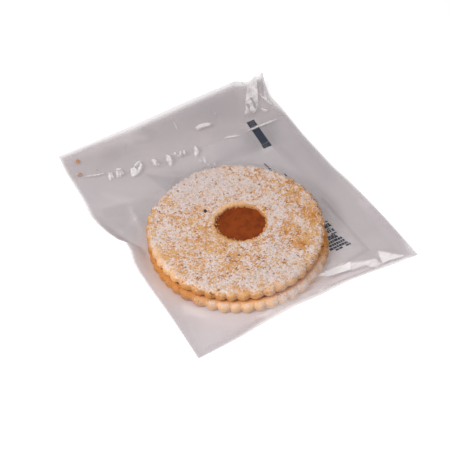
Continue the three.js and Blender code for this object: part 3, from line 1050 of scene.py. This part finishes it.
# %% Stretch a grid between the four sides of the rim
def along_side(side, share):
    """The place at a share of a side's length, on a smooth line through its points."""
    points = np.array(side, float)[:, :2]
    steps = np.hypot(*np.diff(points, axis=0).T)
    at = np.concatenate([[0], np.cumsum(steps)]) / steps.sum()
    steep = np.diff(points, axis=0) / np.diff(at)[:, None]
    before, after = steep[:-1], steep[1:]
    same_way = before * after > 0
    shared = np.where(same_way, 2 * before * after / np.where(same_way, before + after, 1), 0)
    slope = np.vstack([steep[:1], shared, steep[-1:]])
    i = np.clip(np.searchsorted(at, share, side="right") - 1, 0, len(at) - 2)
    width = at[i + 1] - at[i]
    t = (share - at[i]) / width
    t2, t3 = (t * t)[:, None], (t**3)[:, None]
    t = t[:, None]
    width = width[:, None]
    return (
        (2 * t3 - 3 * t2 + 1) * points[i] + (t3 - 2 * t2 + t) * width * slope[i]
        + (3 * t2 - 2 * t3) * points[i + 1] + (t3 - t2) * width * slope[i + 1]
    )


def blend_corners(u, v, corners):
    """Places between four corners, at shares u and v of the way across and along."""
    a, b, c, d = (np.array(p, float) for p in corners)
    u, v = u[:, None], v[:, None]
    return (1 - u) * (1 - v) * a + u * (1 - v) * b + u * v * c + (1 - u) * v * d


def coons(u, v):
    """Places inside the rim: u runs to the closed end, and v runs to the far side."""
    near, far = along_side(NEAR_SIDE, u), along_side(FAR_SIDE[::-1], u)
    folded, closed = along_side(FOLDED_END[::-1], v), along_side(CLOSED_END, v)
    corners = [p[:2] for p in (NEAR_SIDE[0], NEAR_SIDE[-1], FAR_SIDE[0], FAR_SIDE[-1])]
    shared = blend_corners(u, v, corners)
    u, v = u[:, None], v[:, None]
    return ((1 - v) * near + v * far + (1 - u) * folded + u * closed - shared).T


def grid_sheet(name, across, along):
    """A flat unit grid, and its two coordinates from 0 to 1."""
    bpy.ops.object.select_all(action="DESELECT")
    bpy.ops.mesh.primitive_grid_add(x_subdivisions=across, y_subdivisions=along, size=MM)
    sheet = added(name)
    points = points_of(sheet)
    return sheet, points[:, 0] + 0.5, points[:, 1] + 0.5


def lay_film(sheet, places, finish, **attributes):
    """Puts a sheet's points at their x, y and z, with its attributes and its finish."""
    set_points(sheet, np.stack(places, -1))
    for name, values in attributes.items():
        set_attribute(sheet, name, values)
    dress_smooth(sheet, finish)


# %% Whitened creases and painted highlights
# Lines where the film is stressed white, with painted highlights along them: points, half width, how white.
FRONT_STRESS_AND_HIGHLIGHTS = [
    ([(-28.5, 5.2), (-25.8, 3.7)], 1.1, 0.3),
    ([(-34.9, 1.8), (-30.6, 3.0)], 0.9, 0.25),
    ([(-41.6, 22.1), (-41.0, 26.1), (-38.8, 31.5)], 0.75, 0.8),
    ([(-40.0, 34.5), (-40.1, 37.5), (-39.9, 42.4), (-39.5, 49.2), (-39.1, 55.6)], 0.8, 0.95),
    ([(-21.6, -44.8), (-14.1, -47.6), (-9.6, -47.8), (0.4, -48.6)], 1.4, 0.22),
    ([(73.3, -21), (73.7, -10), (72.9, -1), (72, 9.5)], 1.1, 0.35),
    ([(76.4, -18.8), (76.3, -10.3)], 0.5, 0.4),
    ([(76.7, 2.2), (75.8, 11.3)], 0.6, 0.5),
]
# Faces of film that stand to the light, whitened as painted highlights: their corners, softness, how white.
FRONT_FACETS = [
    ([(69.8, 8.2), (68.7, 15), (67.9, 22.1), (68.4, 29.3), (71.8, 27.8), (70.8, 20.8), (70.5, 14)],
     0.35, 0.95),
    ([(68.5, 29.2), (71.4, 34.9), (73.3, 41.5), (76.1, 43), (77.4, 38.8), (73.2, 35.2), (72.3, 27.8)],
     0.9, 0.62),
    ([(70.8, 44.4), (72.3, 46.9), (74.6, 50.1), (77.9, 56.3), (76.4, 48.9), (75.9, 43.5)], 0.4, 0.8),
    ([(74, -25), (77, -4), (74, 12), (68, 18), (64, 12), (69, -3), (70, -18)], 4, 0.18),
    ([(74, -27), (74.6, -10), (73.6, 8), (74.5, 15), (77.6, 12), (78, -6), (77.6, -24)], 1.6, 0.3),
]


def line_white(x, y, points, width, amount):
    """How white a line through those points makes the film. It tapers to both of its ends."""
    pieces = [line_gap(x, y, start, end) for start, end in zip(points, points[1:])]
    gaps = np.array([gap for gap, _ in pieces])
    nearest = gaps.argmin(axis=0)
    shares = np.array([i + t for i, (_, t) in enumerate(pieces)]) / len(pieces)
    along = np.take_along_axis(shares, nearest[None], 0)[0]
    taper = np.sqrt(np.sin(math.pi * np.clip(along, 0.04, 0.96)))
    return amount * taper * bell(gaps.min(axis=0), width * taper)


def stress_and_highlight(x, y, lines):
    return np.max([line_white(x, y, *line) for line in lines], axis=0)


def facet(x, y, outline, soft):
    """1 inside an outline and 0 outside it, with an edge that soft."""
    gap = np.full(x.shape, np.inf)
    inside = np.zeros(x.shape, bool)
    for a, b in zip(outline, outline[1:] + outline[:1]):
        gap = np.minimum(gap, line_gap(x, y, a, b)[0])
        if a[1] != b[1]:
            crossing = a[0] + (b[0] - a[0]) * (y - a[1]) / (b[1] - a[1])
            inside ^= ((a[1] > y) != (b[1] > y)) & (x < crossing)
    return smooth(-soft, soft, np.where(inside, gap, -gap))


def crinkles(x, y, grain):
    """An uneven share from 0 to 1, finer than any fold."""
    lumps = [noise.noise(Vector((a / grain, b / grain, grain))) for a, b in zip(x, y)]
    return np.clip(0.5 + 1.1 * np.array(lumps), 0, 1)


def rim_haze(x, y):
    """A lighter band along the folded end: painted highlight where the film rolls over."""
    inset, _ = inset_and_under(x, y)
    return 0.14 * bell(inset, 1.2) * smooth(-74, -62, x)


def rim_thin(x, y):
    """Close to the rim the film is one flat layer, so more of the table shows through."""
    inset, _ = inset_and_under(x, y)
    folded = smooth(-62, -73, x) * (1 - 0.4 * smooth(-5, -45, y))
    curled = smooth(44, 58, y) * smooth(-38, -54, x)
    closed = 0.8 * smooth(64, 76, x) * smooth(-50, -15, y)
    near_end = 0.5 * smooth(-45, -56, y) * smooth(0, -45, x)
    wide = np.max([folded, curled, closed, near_end], axis=0)
    # Along the far side's weld it stays crisp.
    crisp = smooth(56, 61, y) * smooth(18, 36, x)
    return (0.78 + 0.19 * wide - 0.4 * crisp) * bell(inset, 0.75 + 2.6 * wide - 0.2 * crisp)


# Print shows clearly, as the film lies close over it.
OVER_PRINT = [
    ([(30, 20), (66, 20), (64, 42), (30, 41)], 4, 0.75),
    ([(-47, 36), (-47, 46), (-38, 47), (-21, 43), (-20, 34), (-40, 35)], 1.5, 0.97),
]


def wing_veil(x, y, amount):
    """Film that lies on the biscuit is quite clear. Where it hangs free it veils a little."""
    # Beside the lower biscuit's browned side it clings further out.
    clings_to = 45 + 3.5 * bell(off_by(directions(x, y, LOW_BISCUIT), 62), 26)
    veil = amount * smooth(clings_to, clings_to + 8, from_middle(x, y))
    for outline, softness, share in OVER_PRINT:
        veil = veil * (1 - share * facet(x, y, outline, softness))
    return veil


# Painted shade and painted light on the pouch, with some darker or lighter film: the cookie's
# shadow behind it, shade beside folds and along the panel's edge, and lighter film where the
# light falls on the near side and the closed end. Outline, softness, amount.
PAINTED_SHADE_AND_LIGHT = [
    ([(-74, -56), (-76, 0), (-78, 50), (-50, 39), (-53, 29), (-54, 20.7), (-58, 15), (-58, 3), (-57, -10),
      (-58.8, -24.5), (-56.7, -45)], 1.3, -0.06),
    ([(-72.7, -58.2), (-76.5, -14), (-66, -14), (-70.3, -50.5)], 4, 0.38),
    ([(-68.5, -21.2), (-68.8, -10.3), (-58.4, -14.2), (-62.5, -22.8)], 1.0, 0.07),
    ([(-72.4, -0.6), (-70.7, 7.9), (-60.2, 3.7), (-61.7, -6.3)], 0.9, -0.08),
    ([(-76, 25), (-73, 38), (-74, 53), (-53, 42.6), (-58, 23), (-66, 21)], 4, -0.12),
    ([(-54, 14), (-50, 18), (-30, 11), (-29, 6), (-35, 3)], 1.5, 0.08),
    ([(-54.6, -52), (-54, -27), (-52, 13), (-46.4, 22.6), (-36, 14), (-37, -12), (-44, -29), (-49, -45)],
     3, 0.05),
    ([(-28, 6), (-30.6, 16.5), (-33, 29), (-40.7, 32), (-42, 49), (-41, 56), (-26, 45), (-25, 38), (-30, 25)],
     4.5, -0.22),
    ([(-41.7, 34), (-43, 47.6), (-39, 54), (-26, 44.5), (-27, 37.7), (-33.5, 32)], 3.5, -0.16),
    ([(-41, 56), (-37, 62), (11, 61), (16, 51), (-4, 47), (-25, 44.5)], 5, -0.14),
    ([(-24, 42.3), (-20, 46.4), (28, 49.7), (43, 44), (38.7, 40.7), (21.6, 39.8)], 2.5, -0.12),
    ([(39.3, 41.8), (49.7, 42.4), (61.9, 42.3), (56.7, 37.6), (49.2, 38.2)], 1.0, -0.14),
    ([(-40, -26), (-33, -21), (-23, -17), (-27, 0.6), (-28, 13.4), (-33, 8.7), (-31, -4.6)], 3, -0.14),
    ([(-29.4, -58), (-24.6, -46.7), (-17, -47.7), (-5, -51), (-10, -60), (-22, -62)], 3, -0.12),
    ([(-49.3, -48.8), (-42.5, -37.6), (-32.4, -28), (-25.6, -34.5), (-28.6, -53.3)], 4, 0.05),
    ([(30, 46), (26, 60), (76, 60), (76, 46)], 6, 0.05),
    ([(-39, 18), (-30, 40), (-22, 42), (-16, 33), (-24, 14)], 4, -0.08),
    ([(-73.1, -35.1), (-69.6, -26.3), (-58.4, -32.0), (-58.5, -36.0), (-63.7, -40.6)], 1.6, -0.07),
    ([(-74.8, -17.5), (-74.9, -10.5), (-67.9, -5.1), (-61.8, -7.5), (-60.6, -15.5), (-63.9, -21.1)],
     1.4, -0.13),
    ([(-70.3, -25.5), (-72, -20.2), (-60.4, -25.3), (-60.1, -28.8)], 1.4, 0.08),
    ([(-69.9, 10.2), (-67.8, 22.2), (-55.5, 15.2), (-60.1, 5.6)], 1.6, -0.06),
    ([(-60, -20.7), (-58.5, -10.1), (-53.1, 6.8), (-50.8, 12.6), (-33.7, 2.8), (-34.3, -11.8),
      (-43.5, -26.9)],
     3, 0.05),
    ([(-40.7, -26.2), (-33.7, -18.3), (-29, -11.1), (-23.5, -17.2), (-21.9, -22.5), (-33.7, -25.1)],
     1.0, -0.2),
    ([(-30.2, -56.9), (-28.5, -45.4), (-25.8, -35.9), (-23.3, -43.8), (-17.8, -45.9), (-23.5, -59.5)],
     1.0, -0.08),
    ([(-24.1, -42.6), (-24.7, -35), (-20, -28), (-10.9, -41.2), (-4.5, -45.6), (-13.5, -45.6)], 1.2, -0.14),
    ([(-15.7, -54.1), (-10.9, -48), (-2.4, -48.8), (0.3, -52.4), (-7, -56.4)], 1.5, -0.1),
    ([(-42.9, -52.7), (-29.7, -44.8), (-29.1, -47.3), (-37.8, -53.1)], 1.0, 0.05),
    ([(-28.4, 0), (-29.4, 16), (-29.5, 36), (-24.3, 36), (-23.5, 16), (-22, 0)], 2, -0.12),
    ([(-41.6, 50.4), (-34.9, 55.2), (-24.8, 50.2), (-21.8, 43.2), (-37.8, 44.2)], 2, -0.06),
    ([(-25.3, 42.6), (-9.6, 42.4), (10, 42), (10, 41.2), (-25, 41.2)], 0.6, -0.1),
    ([(58, 12), (66, 10), (67, 28), (57, 36), (52, 33)], 3, 0.14),
    ([(75, 12), (80.5, 12), (80.8, 50), (75.5, 50)], 1.0, 0.3),
    ([(-30, 58), (-20, 64), (40, 64), (40, 58.5)], 1.5, 0.12),
    ([(34, 57), (34, 65), (81, 65), (81, 56)], 1.8, 0.17),
    ([(64, -4), (63.5, 12), (61, 24), (66, 30), (71, 20), (71.5, 2), (69, -6)], 2, 0.22),
    ([(58, 44), (58, 56), (70, 56), (70, 44)], 4, 0.08),
    ([(22, 42.4), (62.9, 42.4), (64.6, 28), (66.2, 28), (64.8, 44.4), (22, 44.4)], 0.7, -0.25),
    ([(71, 16), (76, 16), (77, 46), (73, 46)], 1.5, 0.25),
    ([(20, 38.5), (30, 41.5), (60, 41.5), (64, 20), (50, 34)], 2, -0.08),
    ([(-74.7, 63.6), (-72.6, 65.3), (-65.3, 62.4), (-60.2, 59.5), (-64.5, 58.2)], 1, -0.2),
    ([(-36, 45), (-33, 51), (-20, 45), (-22, 38)], 3, -0.08),
    ([(53, -51.7), (61.6, -37.4), (72.7, -21.9), (75.7, -45.7), (74.7, -58.5)], 6, 0.24),
    ([(66, -14), (62, 4), (66, 14), (66, 34), (72, 46), (78, 58), (78, -14)], 4, 0.32),
]


# Sums the painted shade and painted light at each place.
def painted_shade_and_light_of(x, y):
    shade_and_light = np.zeros_like(x)
    for corners, softness, amount in PAINTED_SHADE_AND_LIGHT:
        shade_and_light += amount * facet(x, y, corners, softness)
    return shade_and_light


def warmth(x, y):
    """The light that the crust throws on the film beside it."""
    out = beyond(x, y, LOW_BISCUIT)
    angle = directions(x, y, LOW_BISCUIT)
    side = np.maximum(bell(off_by(angle, -90), 34), 0.45 * bell(off_by(angle, 20), 60))
    return side * np.exp(-np.maximum(out, 0) / 4.5)


# %% Back film
back_film, u, v = grid_sheet("back_film", 300, 248)
x, y = coons(u, v)
_, under = inset_and_under(x, y)
shades = {"haze": 0.2 * rim_haze(x, y), "thin": rim_thin(x, y), "shade_and_light": painted_shade_and_light_of(x, y), "warm": warmth(x, y)}
lay_film(back_film, (x, y, under + 0.05), back_finish, **shades)
print("back film, mm across:", round(float(np.ptp(x)), 1), round(float(np.ptp(y)), 1))

# %% The flap's cut edge, and the puckers where it was stuck down
CUT_EDGE = [
    (-56, -62.3), (-52.2, -53), (-50.2, -46.4), (-44.5, -40), (-41.5, -32), (-40, -20), (-38.5, -12),
    (-38.8, 3), (-40.2, 14), (-41.2, 26), (-40.6, 36.8), (-39.8, 45), (-39.3, 55), (-39.2, 61.8),
]
# Points, half width, height, how white: stress white and painted highlight together.
PUCKERS = [
    ([(-50.8, -42.6), (-47.5, -43.8), (-43.8, -45.4)], 0.8, 0.25, 0.75),
    ([(-50.2, -42.0), (-47.7, -42.4), (-44.5, -43.0)], 0.6, 0.2, 0.6),
    ([(-50.5, -38.8), (-49.4, -37.5), (-48.8, -36.0)], 0.8, 0.3, 0.85),
    ([(-49.6, -38.8), (-47.0, -39.4), (-44.0, -41.0)], 0.8, 0.25, 0.75),
    ([(-48.7, -37.7), (-45.8, -38.3), (-43.6, -39.7)], 0.7, 0.2, 0.6),
    ([(-48.7, -36.8), (-46.0, -36.9), (-44.3, -37.3)], 0.6, 0.2, 0.55),
    ([(-49.1, -24.4), (-48.5, -26.5), (-47.5, -28.5), (-46.5, -30.5)], 0.8, 0.3, 0.8),
    ([(-48.2, -25.0), (-45.3, -26.6), (-42.5, -29.2), (-40.4, -32.2)], 0.95, 0.4, 0.9),
    ([(-46.5, -19.5), (-44.1, -18.8), (-40.3, -19.9)], 1.2, 0.4, 0.8),
    ([(-41.2, -18.1), (-40.1, -18.2)], 0.8, 0.2, 0.65),
    ([(-45.6, -11.4), (-43.2, -10.8), (-39.8, -11.6), (-36.3, -13.7)], 1.1, 0.45, 0.85),
    ([(-44.3, -11.7), (-41.5, -12.5), (-38.8, -12.7)], 0.7, 0.15, 0.6),
    ([(-44.6, -7.0), (-42.7, -6.6)], 0.8, 0.25, 0.75),
    ([(-44.4, -2.7), (-42.3, -4.2), (-40.4, -5.7)], 0.6, 0.2, 0.65),
    ([(-44.2, -1.0), (-41.9, -2.0), (-40.2, -2.6)], 0.65, 0.2, 0.7),
    ([(-42.2, -6.4), (-40.9, -5.6)], 0.5, 0.15, 0.5),
    ([(-44.1, 5.6), (-39.9, 4.4), (-36.0, 1.5)], 1.1, 0.4, 0.85),
    ([(-35.0, 5.6), (-31.8, 4.7), (-28.5, 3.6)], 0.7, 0.15, 0.4),
    ([(-28.2, 9.7), (-25.9, 7.0), (-22.9, 8.0)], 0.6, 0.15, 0.35),
    ([(-51.3, 51.8), (-49.0, 52.4), (-47.5, 54.4)], 0.7, 0.2, 0.75),
]
# Broader ones: corners, softness, height, how white, again stress white and painted highlight.
BROAD_PUCKERS = [
    ([(-46.4, -32.1), (-46.2, -29.9), (-43.7, -29.5), (-41.3, -30.9), (-40.5, -33.9), (-43.0, -33.7)],
     0.6, 0.45, 0.95),
    ([(-56.3, 12.9), (-57.2, 16.5), (-56.4, 19.8), (-55.0, 22.0), (-53.9, 20.8), (-54.4, 16.5),
      (-54.3, 13.0)],
     0.9, 0.5, 0.95),
    ([(-64.6, 62.0), (-55.2, 56.6), (-52.3, 56.8), (-49.9, 57.8), (-58.3, 60.5), (-68.2, 64.3)],
     0.5, 0.0, 0.6),
]


def line_at(points, y):
    points = np.array(points)
    return np.interp(y, points[:, 1], points[:, 0])


def puckered(x, y, z, haze):
    """The height of film raised at its puckers, and its haze, whitened there by stress and by painted
    highlights.
    """
    broken = 0.78 + 0.3 * crinkles(x, y, 1.1)
    for points, width, height, white in PUCKERS:
        share = line_white(x, y, points, width, broken)
        z = z + height * share
        haze = np.maximum(haze, 1.2 * white * share)
    for outline, softness, height, white in BROAD_PUCKERS:
        share = facet(x, y, outline, softness) * broken
        z = z + height * share
        haze = np.maximum(haze, white * share)
    return z, haze


# %% Front film
front, u, v = grid_sheet("front_film", 290, 236)
x, y = coons(u, v)
z = front_film(x, y)
haze = stress_and_highlight(x, y, FRONT_STRESS_AND_HIGHLIGHTS) * (0.6 + 0.55 * crinkles(x, y, 1.4))
# Its painted highlights on the facets are streaked along the closed end.
streaks = 0.78 + 0.34 * crinkles(2.4 * x, 0.4 * y, 1.6)
for outline, softness, amount in FRONT_FACETS:
    haze = np.maximum(haze, amount * streaks * facet(x, y, outline, softness))
z, haze = puckered(x, y, z, haze)
haze = np.maximum(haze, rim_haze(x, y)) + wing_veil(x, y, 0.22)
lay_film(front, (x, y, z), front_finish, haze=haze)

# %% Flap film
FLAP_GAP = 0.42
FLAP_MARGIN = 0.5
FOLD_ROUND = 0.9
# The ridge that runs out to the curled corner: from, to, half width, height at each end.
CURL = ((-49, 43), (-73, 62), 3.2, 0.6, 2.6)

# Bright lines in the flap, stress white and painted highlight together: points, half width, how white.
FLAP_STRESS_AND_HIGHLIGHTS = [
    ([(-54.1, -56.8), (-52.8, -52.8), (-51.5, -49.5), (-50.9, -46.7), (-51.2, -44.6)], 0.6, 0.85),
    ([(-60.3, 55.7), (-57.0, 56.4), (-53.8, 57.4), (-49.8, 58.1)], 0.7, 0.9),
    ([(-64.8, 62.1), (-58.9, 59.0), (-54.9, 57.4), (-51.7, 58.2), (-48.9, 58.8)], 0.95, 0.9),
    ([(-71.5, 64.3), (-67.2, 62.8), (-61.8, 60.7)], 0.6, 0.6),
    ([(-78.3, 47.8), (-77.9, 52.8), (-76.7, 54.1), (-73.1, 53.8), (-69.7, 53.8)], 0.8, 0.5),
    ([(-69.4, 5.9), (-62.8, 4.1), (-57.2, 2.7)], 0.6, 0.5),
    ([(-64.1, 28.0), (-60.5, 27.7), (-57.1, 27.1)], 0.5, 0.4),
    ([(-68.5, -25.4), (-64.1, -26.6), (-58.1, -29.0)], 1.2, 0.14),
    ([(-58, 60.5), (-42, 61.5)], 1.6, 0.25),
]


def flap_top(x, y):
    """How high the flap lies, with the ridge to its curled corner."""
    return front_film(x, y) + FLAP_GAP + ridge(x, y, *CURL)


flap, u, v = grid_sheet("flap_film", 120, 400)
cut_y = np.interp(v, [0, 1], [CUT_EDGE[0][1] + FLAP_MARGIN, CUT_EDGE[-1][1] - FLAP_MARGIN])
folded = along_side(FOLDED_END[::-1], v)
x = folded[:, 0] + (line_at(CUT_EDGE, cut_y) - folded[:, 0]) * u
y = folded[:, 1] + (cut_y - folded[:, 1]) * u
rim_x, rim_y, _, _ = rim_towards(x, y)
back = np.minimum(1, (from_middle(rim_x, rim_y) - 0.02) / from_middle(x, y))
x = CENTRE[0] + (x - CENTRE[0]) * back
y = CENTRE[1] + (y - CENTRE[1]) * back
inset, under = inset_and_under(x, y)
broken = 0.62 + 0.55 * crinkles(x, y, 1.1)
z, haze = puckered(x, y, flap_top(x, y), rim_haze(x, y))
round_over = np.sqrt(np.clip(1 - (1 - np.clip(inset / FOLD_ROUND, 0, 1)) ** 2, 0, 1))
z = under + 0.1 + (z - under - 0.1) * round_over
haze = np.maximum(haze, stress_and_highlight(x, y, FLAP_STRESS_AND_HIGHLIGHTS) * broken)
lay_film(flap, (x, y, z), flap_finish, haze=haze)
print("flap faces:", len(flap.data.polygons))

# %% [markdown]
# ## The curled corner
#
# Where the flap's corner curls up, its film is doubled over and crinkled
# white, and its white is partly painted highlight. That strip is a sheet of its
# own between two given lines, with two furrows pressed into it where the film
# stays clear.

# %% Corner fold
FOLD_NEAR_LINE = [(-70.2, 54.2), (-63.0, 48.5), (-55.6, 43.7), (-49.6, 39.4)]
FOLD_FAR_LINE = [(-69.0, 59.8), (-61.5, 56.0), (-56.4, 53.3), (-51.8, 50.2), (-47.6, 45.0)]
# Furrows: points, half width.
FURROWS = [
    ([(-59.9, 49.9), (-56.3, 50.0), (-53.6, 49.3), (-51.0, 48.0)], 0.8),
    ([(-58.3, 46.6), (-54.5, 45.9), (-51.7, 44.5)], 0.6),
]
FURROW_DEPTH = 0.35
# How much of its whiteness the film loses in them.
FURROW_CLEAR = 0.72

corner_fold, u, v = grid_sheet("corner_fold", 90, 44)
near_line, far_line = along_side(FOLD_NEAR_LINE, u), along_side(FOLD_FAR_LINE, u)
x, y = (near_line + (far_line - near_line) * v[:, None]).T
x = x - 1.4 * np.sin(math.pi * v) * (1 - u) ** 6
crinkle = 0.12 * np.sin(9 * v + 3 * np.sin(4 * u)) + 0.06 * np.sin(31 * u + 9 * v)
z = flap_top(x, y) + 0.35 + crinkle
to_sides = smooth(0, 0.16, v) * smooth(1, 0.9, v)
to_foot = smooth(1, 0.8, u)
# The strip's whiteness is stress white and painted highlight together.
haze = (0.5 + 0.3 * crinkles(x, y, 2.2)) * (0.35 + 0.65 * to_sides) * (0.25 + 0.75 * to_foot)
haze = haze + line_white(x, y, [(-69.1, 53.2), (-64.2, 54.3), (-59.3, 55.1)], 0.7, 0.3)
for points, width in FURROWS:
    furrow = line_white(x, y, points, width, 1)
    z = z - FURROW_DEPTH * furrow
    haze = haze - FURROW_CLEAR * furrow
lay_film(corner_fold, (x, y, z), flap_finish, haze=np.clip(haze, 0.02, 0.9))

# %% [markdown]
# ## Print
#
# The back film carries a pale panel, a dark mark by its side that steers the
# packing machine, and small print beside the cookie. They are flat, so each is
# a thin sheet just above the film. The small print is rows of plain dashes.


# %% Printed panel, machine mark and rows of dashes
def quad_sheet(name, corners, cuts, height):
    """A flat four-cornered sheet on the back film."""
    sheet, u, v = grid_sheet(name, cuts, cuts)
    flat = blend_corners(u, v, corners)
    set_points(sheet, np.column_stack([flat, np.full(len(flat), height)]))
    return sheet


# How high each print lies, so that no two of them share a plane.
PANEL_Z, MARK_Z, DASH_Z = 0.12, 0.2, 0.24
PANEL_CORNERS = [(-26.5, -12.0), (66, 14.0), (62.6, 42.0), (-24.6, 42.0)]
panel = quad_sheet("printed_panel", PANEL_CORNERS, 30, PANEL_Z)
panel_ink, tree = material_nodes("print_white")
clear = add_node(tree, "BsdfTransparent")
ink = principled(tree, (0.77, 0.725, 0.74), 0.6)
ink_share = between(tree, noise_node(tree, object_place(tree), 60), 0.3, 0.7, 0.5, 0.65)
finish_material(tree, mix_shaders(tree, ink_share, clear, ink))
panel.data.materials.append(panel_ink)

INK_COLOURS = ((0.022, 0.030, 0.054), (0.045, 0.055, 0.085))
blue_ink = mottled("print_blue", 900, (0.3, 0.8), INK_COLOURS, 0.5)


def dash(length, width):
    bpy.ops.object.select_all(action="DESELECT")
    bpy.ops.mesh.primitive_plane_add(size=MM)
    plate = added("dash")
    points = points_of(plate)
    set_points(plate, points * (width, length, 1))
    return plate


MARK_CORNERS = [(-40.8, 39.3), (-28.0, 37.9), (-28.1, 42.6), (-41.0, 43.9)]
mark = quad_sheet("machine_mark", MARK_CORNERS, 8, MARK_Z)
mark.data.materials.append(blue_ink)

draw = np.random.default_rng(14)
dash_places, dash_frames = [], []


def add_dash(x, y, length, width, turn=0.0):
    """One dash: its length runs across the bag, turned by that many radians."""
    c, s = math.cos(turn), math.sin(turn)
    dash_places.append((x, y, DASH_Z))
    dash_frames.append(np.array([[c * width, -s * length, 0], [s * width, c * length, 0], [0, 0, 1]]))


# The mark's ends are broken up into short dashes, between its two slanting sides.
MARK_LOW = [(-46.8, 40.0), (-24.2, 37.4)]
MARK_HIGH = [(-47.4, 44.5), (-24.2, 42.2)]
for start_x, stop_x in ((-46.9, -41.2), (-27.4, -24.2)):
    for x in np.arange(start_x, stop_x, 0.8):
        low_y, high_y = (np.interp(x, *np.array(side).T) for side in (MARK_LOW, MARK_HIGH))
        for y in np.arange(low_y + 0.35, high_y, 0.95):
            add_dash(x, y + draw.uniform(-0.1, 0.1), draw.uniform(0.8, 0.98), 0.76)
        add_dash(x, low_y + 0.2, 0.4, 0.8)
        add_dash(x, high_y - 0.2, 0.4, 0.8)

# Rows of small print: along the bag, start, end, width of the strokes.
PRINT_ROWS = [
    (37.5, 35.6, 36.9, 0.8), (39.3, 33.0, 36.6, 1.1), (40.7, 33.2, 36.8, 1.2), (42.2, 33.4, 35.2, 0.7),
    (43.8, 31.4, 34.6, 1.5), (43.8, 35.3, 36.6, 1.6), (46.0, 33.6, 36.5, 0.8), (47.2, 30.6, 34.9, 1.2),
    (48.6, 30.2, 35.4, 1.1), (50.4, 28.4, 36.9, 1.25), (52.4, 28.0, 37.1, 1.25), (54.4, 27.0, 37.5, 1.2),
    (56.1, 29.5, 33.4, 1.0), (56.0, 35.6, 38.2, 1.0),
]
for row_x, start_y, stop_y, width in PRINT_ROWS:
    y = start_y
    while y < stop_y:
        length = min(draw.uniform(0.8, 2.2), stop_y - y + 0.2)
        add_dash(row_x + 0.08 * draw.uniform(-1, 1), y + length / 2, length, width * draw.uniform(0.98, 1.25))
        y += length + draw.uniform(0.14, 0.28)
# A few letters' worth of strokes that show beyond the cookie's far edge.
STROKES = [
    ((-14.7, 31.4), (-9.2, 31.9), 0.9), ((-8.4, 31.9), (-5.7, 32.2), 0.8),
    ((-2.6, 36.2), (-0.4, 36.3), 1.2),
]
for (x, y), (end_x, end_y), width in STROKES:
    turn = math.atan2(x - end_x, end_y - y)
    add_dash((x + end_x) / 2, (y + end_y) / 2, math.hypot(end_x - x, end_y - y), width, turn)
print_rows = copies("small_print", dash(1, 1), np.array(dash_places), np.array(dash_frames))
print_rows.data.materials.append(blue_ink)

# %% [markdown]
# ## Crumbs
#
# A few crumbs of crust have fallen into the corner of the bag. They are the
# same small stone as before, larger.

# %% Crumbs
crumb_places = np.array([(-66.5, -53.4, 1.5), (-57.0, -56.8, 1.4), (-55.9, -47.2, 1.2)])
crumb_sizes = ((1.9, 1.4, 0.6), (1.15, 1.6, 0.6), (0.4, 0.4, 0.25))
crumb_frames = np.array([np.diag(size) for size in crumb_sizes])
crumbs = copies("crumbs", pebble(31), crumb_places, crumb_frames)
crumbs.data.materials.append(plain("crumb", (0.58, 0.23, 0.05), 0.7))

# %% [markdown]
# ## Riding on the body
#
# Every piece rides on the one body, and the imported solid is hidden, as the
# pieces stand for it. They are listed by the finish that they take.

# %% Ride on the body, and hide the solid
SLOTS = {
    "clear_film": [front, flap, corner_fold, back_film],
    "shortbread": [top_biscuit, bottom_biscuit, nut_specks, dark_speck, window_crumbs, crumbs],
    "icing_sugar": [icing_sugar],
    "jam": [window_jam, jam_layer],
    "print_white": [panel],
    "print_blue": [mark, print_rows],
}
for slot, pieces in SLOTS.items():
    for piece in pieces:
        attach(piece, "root")
        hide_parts("sealed_bag")
